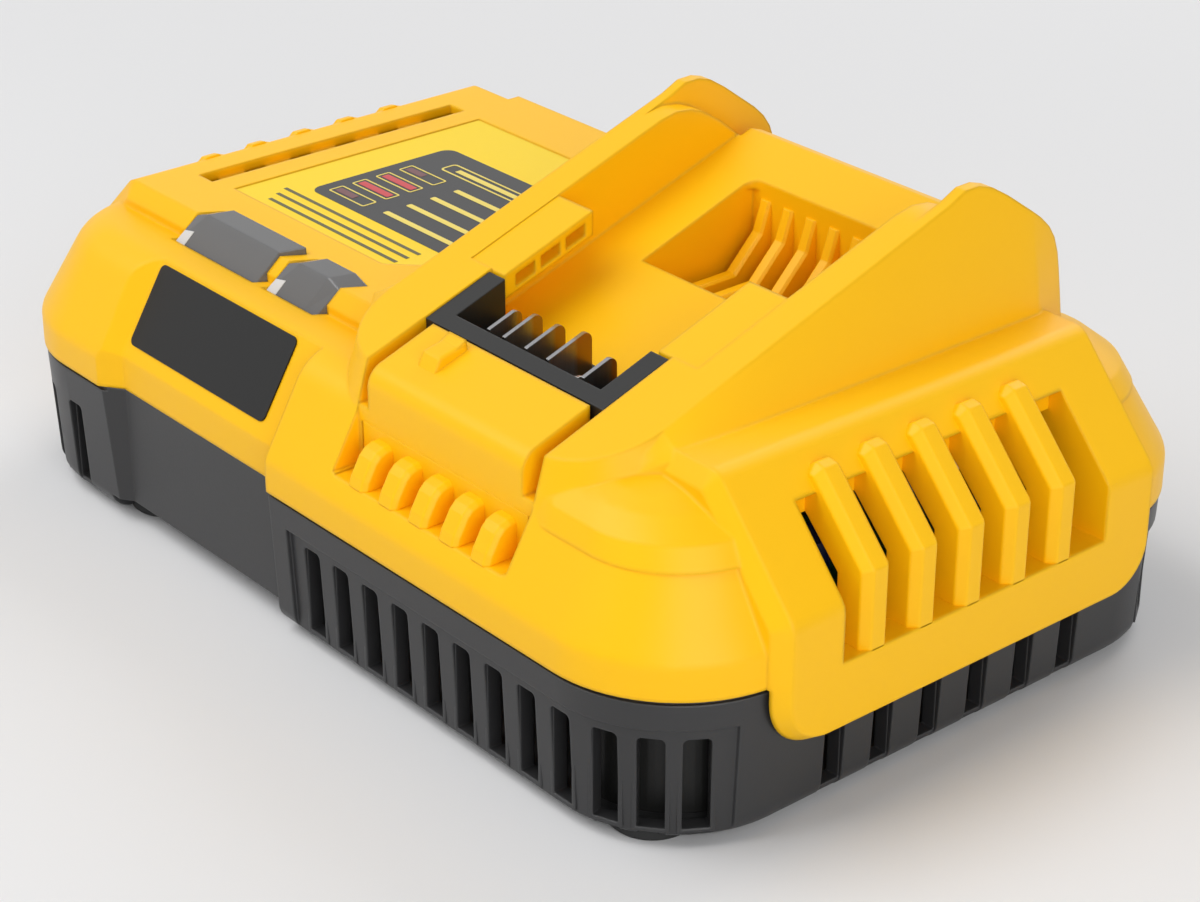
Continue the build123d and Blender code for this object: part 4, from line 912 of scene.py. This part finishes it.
@dataclass
class BayVents:
    """Fins of the well in the bay floor and of the small vent under the stop."""

    well_fin: Fin = Fin(
        ((-1.0, 67.9), (21.2, 68.0), (28.7, 75.6), (31.0, 82.3), (32.4, 82.3), (32.4, 71.0), (25.5, 63.5),
         (20.5, 61.8), (-1.0, 61.8)), (1, 1, 1, 0, 0, 0, 0, 0, 0), Run.X, 3.3, 0.6, 0.0)
    well_first: float = 27.8
    well_pitch: float = 7.1
    stop_fin: Fin = Fin(
        ((-69.4, 46.2), (-77.7, 46.2), (-76.9, 48.6), (-74.7, 52.4), (-73.3, 53.8), (-71.4, 54.5),
         (-69.4, 54.6)), (0, 1, 1, 1, 1, 1, 0), Run.X, 5.9, 1.0, 0.25)
    stop_first: float = 23.6
    stop_pitch: float = 10.05
    stop_back: Prism = Prism(boxed(-69.9, -69.5, 46.3, 56.6), Run.X, (16.6, 70.4))

    def build(self) -> list[Piece]:
        """Make both rows of fins and the plate behind the front row.

        Returns:
            The new pieces.
        """
        pairs = zip(self.well_fin.row("well_fin", self.well_first, self.well_pitch),
                    self.stop_fin.row("stop_fin", self.stop_first, self.stop_pitch))
        made = [fin for pair in pairs for fin in pair]
        return made + [self.stop_back.build("stop_vent_back", "fin")]


@dataclass
class BayDetails:
    """Wedge-shaped key on the stop, and fillets that close the rear feet of the cheeks."""

    key: Fin = Fin(((-63.6, 69.4), (-61.4, 73.6), (-55.0, 74.95), (-54.0, 72.6)), (0, 1, 0, 0), Run.X,
                   5.6, 0.3)
    key_middle: float = 29.25
    left_foot: Prism = Prism(((46.9, 62.5), (52.0, 62.5), (51.2, 66.9), (46.9, 66.9)), Run.X, (2.5, 5.4))
    right_foot: Prism = Prism(((46.6, 62.0), (58.2, 62.0), (58.0, 63.2), (47.75, 63.7), (47.75, 69.0),
                               (46.6, 69.0)), Run.X, (81.8, 84.4))

    def build(self) -> list[Piece]:
        """Make the key and both fillets.

        Returns:
            The new pieces.
        """
        return [self.key.build("stop_key", self.key_middle, "shell"),
                self.left_foot.build("left_cheek_foot", "fin"),
                self.right_foot.build("right_cheek_foot", "fin")]


@dataclass
class Blades:
    """The five power blades, each with a rounded top rear corner.

    Their tops rise to the back along a line, and each tip is a quarter circle a little below it.
    """

    middle: float = 43.5
    tips: tuple[Span, ...] = ((-12.9, -39.4), (-7.9, -38.1), (-0.9, -37.9), (6.0, -36.7), (16.9, -39.4))
    root: float = -47.9
    foot: float = 62.6
    thick: float = 0.9
    crest_start: Span = (-52.2, 74.2)
    crest_slope: float = 0.34
    tip_radius: float = 1.9
    tip_drop: float = 0.7
    tip_points: int = 6

    def build(self) -> list[Piece]:
        """Make the blades as one piece.

        Returns:
            The new piece.
        """
        solids = [self._blade(self.middle + beside, tip) for beside, tip in self.tips]
        piece = mesh_piece("blade_row", *joined(solids), "blade", turn=True)
        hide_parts("power_blades")
        return [piece]

    def _blade(self, x: float, tip: float) -> tuple[np.ndarray, list]:
        """Work out one blade.

        Args:
            x: Middle of its thickness.
            tip: How far back it reaches.

        Returns:
            Its points and faces.
        """
        start, height = self.crest_start
        root_top, top = (height + self.crest_slope * (y - start) for y in (self.root, tip))
        turn = np.linspace(0, math.pi / 2, self.tip_points)
        corner = np.array([tip - self.tip_radius, top - self.tip_drop - self.tip_radius])
        nose = corner + self.tip_radius * np.column_stack([np.sin(turn), np.cos(turn)])
        outline = np.vstack([[(self.root, self.foot), (self.root, root_top)], nose, [(tip, self.foot)]])
        return Prism(outline, Run.X, (x - self.thick / 2, x + self.thick / 2)).arrays()


@dataclass
class TraySlots:
    """Walls behind the tray's slots, and a curved baffle inside each corner."""

    half_x: float = 120.1
    half_y: float = 79.3
    radius: float = 30.6
    slot_half: float = 2.76
    wall: float = 0.9
    low: float = 3.7
    top: float = 25.1
    wall_depths: Span = (-5.6, -2.1)
    side_first: float = 7.2
    side_pitch: float = 10.25
    side_count: int = 9
    lone_place: float = -87.0
    end_places: tuple[float, ...] = (-33.6, -20.3, -6.7, 6.9, 20.5, 34.1)
    corner_angles: tuple[float, ...] = (33.0, 50.5, 69.0)
    baffle_radii: Span = (21.0, 22.4)
    baffle_sweep: Span = (8.0, 82.0)
    baffle_heights: Span = (4.0, 27.0)
    baffle_points: int = 20

    def _corner(self, sx: int, sy: int) -> np.ndarray:
        """Middle of a corner's round, in millimetres."""
        return np.array([sx * (self.half_x - self.radius), sy * (self.half_y - self.radius)])

    def places(self) -> list[tuple[float, float, float]]:
        """Work out where each slot is and the way it faces.

        Returns:
            X and Y in millimetres and an angle in radians, for each slot.
        """
        sides = [self.side_first + self.side_pitch * index for index in range(self.side_count)]
        found = [(x, sy * self.half_y, sy * math.pi / 2) for x in sides + [self.lone_place] for sy in (-1, 1)]
        found += [(sx * self.half_x, y, (1 - sx) * math.pi / 2) for sx in (-1, 1) for y in self.end_places]
        for sx, sy in CORNERS:
            for angle in np.radians(self.corner_angles):
                way = np.array([sx * math.cos(angle), sy * math.sin(angle)])
                found.append((*(self._corner(sx, sy) + self.radius * way), math.atan2(way[1], way[0])))
        return found

    def build(self) -> list[Piece]:
        """Make the walls behind every slot and the four baffles.

        A baffle is the band between two arcs about the middle of its corner's round.

        Returns:
            The new pieces.
        """
        made = []
        half, wall = self.slot_half, self.wall
        inner = metres(boxed(-half, half, self.low + wall, self.top))
        outer = metres(boxed(-half - wall, half + wall, self.low, self.top + wall))
        for number, (x, y, angle) in enumerate(self.places()):
            facing = Facing((x * MM, y * MM, 0.0), (-math.sin(angle), math.cos(angle), 0.0), (0.0, 0.0, 1.0))
            made.append(frame_slab(f"slot_wall_{number}", outer, inner, facing, self.wall_depths, "tray"))
        turn = np.radians(np.linspace(*self.baffle_sweep, self.baffle_points))
        small, large = self.baffle_radii
        for sx, sy in CORNERS:
            way = np.column_stack([sx * np.cos(turn), sy * np.sin(turn)])
            outline = metres(self._corner(sx, sy) + np.vstack([large * way, small * way[::-1]]))
            name = f"corner_baffle_{sx}_{sy}".replace("-", "m")
            made.append(slab(name, outline[::sx * sy], Facing(), self.baffle_heights, "block"))
        return made


@dataclass
class Lens:
    """Bent lens over the step before the plateau, ramped up from the shell at its ends.

    Its rings are cross-sections in Y and Z, and lean along X as they go back.
    """

    node: str
    left: float
    right: float
    right_ramp: float
    ramp: float = 4.2
    lean: float = 0.614
    lean_from: float = -55.6
    proud: Outline = ((-55.6, 62.7), (-50.6, 70.3), (-45.5, 71.0))
    flush: Outline = ((-55.6, 62.5), (-50.8, 68.9), (-45.5, 69.4))
    under: Outline = ((-45.5, 67.87), (-48.37, 67.3), (-52.37, 61.6), (-55.6, 62.22))
    rounding: float = 0.35
    # reach, size and thickness of the painted glint on the left ramp
    glint_reach: float = 0.5
    glint_share: float = 0.86
    glint_span: Span = (-0.05, 0.12)

    def _ring(self, x: float, upper: Outline) -> np.ndarray:
        """Cross-section at one station, in metres."""
        ring = np.array(upper + self.under)
        return np.column_stack([x + self.lean * (ring[:, 0] - self.lean_from), ring]) * MM

    def build(self) -> list[Piece]:
        """Make the lens and the painted glint low on its left ramp.

        Returns:
            The new pieces.
        """
        rings = [self._ring(self.left, self.flush), self._ring(self.left + self.ramp, self.proud),
                 self._ring(self.right - self.right_ramp, self.proud)]
        if self.right_ramp:
            rings.append(self._ring(self.right, self.flush))
        lens = mesh_piece(f"{self.node}_moulding", np.vstack(rings), ring_faces(len(rings[0]), len(rings)),
                          "lens", turn=True)
        soften(lens, self.rounding)
        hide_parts(self.node)
        return [lens, self._painted_glint_plate(np.array(rings))]

    def _painted_glint_plate(self, rings: np.ndarray) -> Piece:
        """Make the painted glint: a thin pale plate low on the left ramp's front, standing for a reflection.

        It is the four-sided patch between the first two rings, drawn in about its middle and given a
        thickness along its normal.

        Args:
            rings: The lens's rings, from its left end on.

        Returns:
            The new piece.
        """
        low, high = rings[:2, 0], rings[:2, 1]
        corners = np.vstack([low, (low + self.glint_reach * (high - low))[::-1]])
        normal = np.cross(corners[1] - corners[0], corners[3] - corners[0])
        normal /= np.linalg.norm(normal)
        middle = corners.mean(0)
        inner = middle + self.glint_share * (corners - middle)
        points = np.vstack([inner + height * MM * normal for height in self.glint_span])
        return mesh_piece(f"{self.node}_bright_foot", points, ring_faces(4, 2), "painted_glint", turn=True)


@dataclass
class TopPrint:
    """Dark panel with plain bars on the top label."""

    label_height: float = 69.2
    ink: float = 0.06
    panel: Box = (-69.3, -11.8, -22.5, 18.5)
    panel_radius: float = 3.0
    header: Box = (-60.0, -19.0, 8.4, 13.2)
    header_line: float = 0.5
    header_radii: Span = (1.2, 0.8)
    header_bar: Box = (-56.0, -24.0, 10.0, 11.6)
    rows: tuple[float, ...] = (2.8, -4.0, -10.8, -17.4)
    fills: tuple[float, ...] = (0.55, 1.0, 1.0, 0.6)
    tones: tuple[str, ...] = ("dim_print", "red_print", "red_print", "dim_print")
    gauge: Span = (-66.0, -52.4)
    gauge_half: float = 2.1
    gauge_line: float = 0.4
    gauge_gap: float = 1.1
    gauge_radii: Span = (0.6, 0.3)
    fill_radius: float = 0.2
    bar_start: float = -46.5
    bar_ends: Span = (-24.0, -20.0)
    bar_half: float = 0.8
    bar_radius: float = 0.4
    notes: tuple[Box, ...] = ((-73.5, -21.5, -26.9, -25.9), (-72.0, -21.5, -30.1, -29.1),
                              (-70.5, -21.5, -33.3, -32.3))

    def build(self) -> list[Piece]:
        """Lay the panel, the rows, the header and the notes.

        Returns:
            The new pieces.
        """
        facing = Facing((0.0, 0.0, self.label_height * MM))
        film, over = (0.0, self.ink), (self.ink, 2 * self.ink)
        panel = rounded_box(self.panel, self.panel_radius, steps=6)
        made = [slab("top_panel", panel, facing, film, "panel_print")]
        for number in range(len(self.rows)):
            made += self._row(facing, over, number)
        radius, inner_radius = self.header_radii
        outer = rounded_box(self.header, radius, steps=4)
        inner = rounded_box(shrunk(self.header, self.header_line), inner_radius, steps=4)
        made.append(frame_slab("header_frame", outer, inner, facing, over, "bar_print"))
        made.append(slab("header_bar", metres(boxed(*self.header_bar)), facing, over, "bar_print"))
        for number, note in enumerate(self.notes):
            made.append(slab(f"note_bar_{number}", metres(boxed(*note)), facing, film, "note_print"))
        return made

    def _row(self, facing: Facing, span: Span, number: int) -> list[Piece]:
        """Lay one framed gauge with its filling, and the bar beside it.

        Args:
            facing: The label's plane.
            span: Heights of the ink's lower and upper side.
            number: The row's number.

        Returns:
            The row's pieces.
        """
        y = self.rows[number]
        box = (*self.gauge, y - self.gauge_half, y + self.gauge_half)
        x0, x1, y0, y1 = shrunk(box, self.gauge_gap)
        level = (x0, x0 + (x1 - x0) * self.fills[number], y0, y1)
        bar = (self.bar_start, self.bar_ends[number % 2], y - self.bar_half, y + self.bar_half)
        radius, inner_radius = self.gauge_radii
        outer = rounded_box(box, radius, steps=3)
        inner = rounded_box(shrunk(box, self.gauge_line), inner_radius, steps=3)
        filling = rounded_box(level, self.fill_radius, steps=2)
        bar = rounded_box(bar, self.bar_radius, steps=3)
        return [frame_slab(f"gauge_frame_{number}", outer, inner, facing, span, "bar_print"),
                slab(f"gauge_fill_{number}", filling, facing, span, self.tones[number]),
                slab(f"row_bar_{number}", bar, facing, span, "bar_print")]


# --- studio ---


@dataclass(frozen=True)
class Lamp:
    """One soft square lamp, in metres and watts."""

    name: str
    place: Place
    target: Place
    size: float
    power: float

    def build(self) -> None:
        """Hang the lamp and turn it to its target."""
        data = bpy.data.lights.new(self.name, "AREA")
        data.size = self.size
        data.energy = self.power
        lamp = new_object(self.name, data)
        lamp.location = self.place
        lamp.rotation_euler = (Vector(self.target) - Vector(self.place)).to_track_quat("-Z", "Y").to_euler()


@dataclass
class Studio:
    """Pale floor, soft lamps, plain world and the camera."""

    floor_colour: Colour = (232, 232, 233)
    floor_half: float = 6.0
    far_colour: Colour = (0.84, 0.84, 0.845)
    far_start: float = 0.22
    far_end: float = 0.85
    world_level: float = 0.26
    lamps: tuple[Lamp, ...] = (
        Lamp("key", (-0.35, -0.55, 0.95), (0.02, 0.0, 0.05), 0.9, 8.2),
        Lamp("fill", (0.98, -0.45, 0.42), (0.05, 0.0, 0.05), 0.8, 6.4),
        Lamp("back", (-0.2, 0.9, 0.8), (0.0, 0.0, 0.06), 0.8, 4.6))
    camera_place: Place = (0.4467, -0.3692, 0.3144)
    azimuth: float = 49.86
    elevation: float = 26.90
    focal: float = 85.35
    sensor: float = 36.0

    def build(self) -> None:
        """Set up all that isn't part of the object."""
        self._floor()
        self._world()
        for lamp in self.lamps:
            lamp.build()
        self._camera()
        bpy.context.scene.view_settings.view_transform = "Standard"

    def _floor(self) -> None:
        """Lay the floor, which fades to a plain pale field."""
        half = self.floor_half
        corners = np.insert(np.array(boxed(-half, half, -half, half)), 2, 0.0, axis=1)
        floor = new_object("floor", new_mesh("floor", corners, [(0, 1, 2, 3)]))
        material, tree, shader = new_material("floor_paper")
        fill(tree, shader, {"Base Color": linear(self.floor_colour), "Roughness": 0.9,
                            "Specular IOR Level": 0.1})
        place = add_node(tree, "TexCoord", {}).outputs["Object"]
        reach = add_node(tree, "VectorMath", {0: place}, operation="LENGTH")
        far = add_node(tree, "MapRange", {"Value": reach.outputs["Value"], "From Min": self.far_start,
                                          "From Max": self.far_end}, interpolation_type="SMOOTHSTEP")
        seen = add_node(tree, "LightPath", {}).outputs["Is Camera Ray"]
        share = add_node(tree, "Math", {0: far.outputs[0], 1: seen}, operation="MULTIPLY")
        paper = add_node(tree, "Emission", {"Color": (*self.far_colour, 1.0), "Strength": 1.0})
        mix = add_node(tree, "MixShader", {0: share.outputs[0], 1: shader.outputs[0], 2: paper.outputs[0]})
        fill(tree, tree.nodes["Material Output"], {"Surface": mix.outputs[0]})
        wear_only(floor, material)

    def _world(self) -> None:
        """Even light all round, white to the camera, in gloss and through glass."""
        world = bpy.data.worlds.new("studio")
        bpy.context.scene.world = world
        world.use_nodes = True
        tree = world.node_tree
        rays = add_node(tree, "LightPath", {}).outputs
        seen = add_node(tree, "Math", {0: rays["Is Camera Ray"], 1: rays["Is Glossy Ray"]},
                        operation="MAXIMUM")
        white = add_node(tree, "Math", {0: seen.outputs[0], 1: rays["Is Transmission Ray"]},
                         operation="MAXIMUM")
        level = add_node(tree, "MapRange", {"Value": white.outputs[0], "To Min": self.world_level,
                                            "To Max": 1.0})
        fill(tree, tree.nodes["Background"], {"Strength": level.outputs[0], "Color": (1, 1, 1, 1)})

    def _camera(self) -> None:
        """Place the camera, level, with no shift."""
        data = bpy.data.cameras.new("camera")
        data.lens = self.focal
        data.sensor_width = self.sensor
        data.sensor_fit = "HORIZONTAL"
        data.clip_start, data.clip_end = 0.02, 20.0
        camera = new_object("camera", data)
        camera.location = self.camera_place
        camera.rotation_euler = Euler((math.radians(90 - self.elevation), 0, math.radians(self.azimuth)))
        bpy.context.scene.camera = camera


def main() -> None:
    """Build the charger's looks, piece by piece."""
    logging.basicConfig(level=logging.INFO, format="%(name)s: %(message)s")
    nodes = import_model()["nodes"]
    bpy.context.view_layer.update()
    dress_nodes(nodes)
    for shell in (SmoothShell("upper_housing", "shell", UPPER_CUTS), SmoothShell("lower_housing", "tray")):
        piece = shell.build(nodes)
        LOG.info("%s: %d triangles", piece.name, len(piece.data.polygons))
    parts = (EndVents(), BayVents(), BayDetails(), Blades(), TraySlots(),
             Lens("charge_lens", -76.3, -43.6, 0.0), Lens("fault_lens", -39.7, -20.8, 4.2), TopPrint())
    for piece in (piece for part in parts for piece in part.build()):
        LOG.info("%s", piece.name)
    Studio().build()


if __name__ == "__main__":
    main()
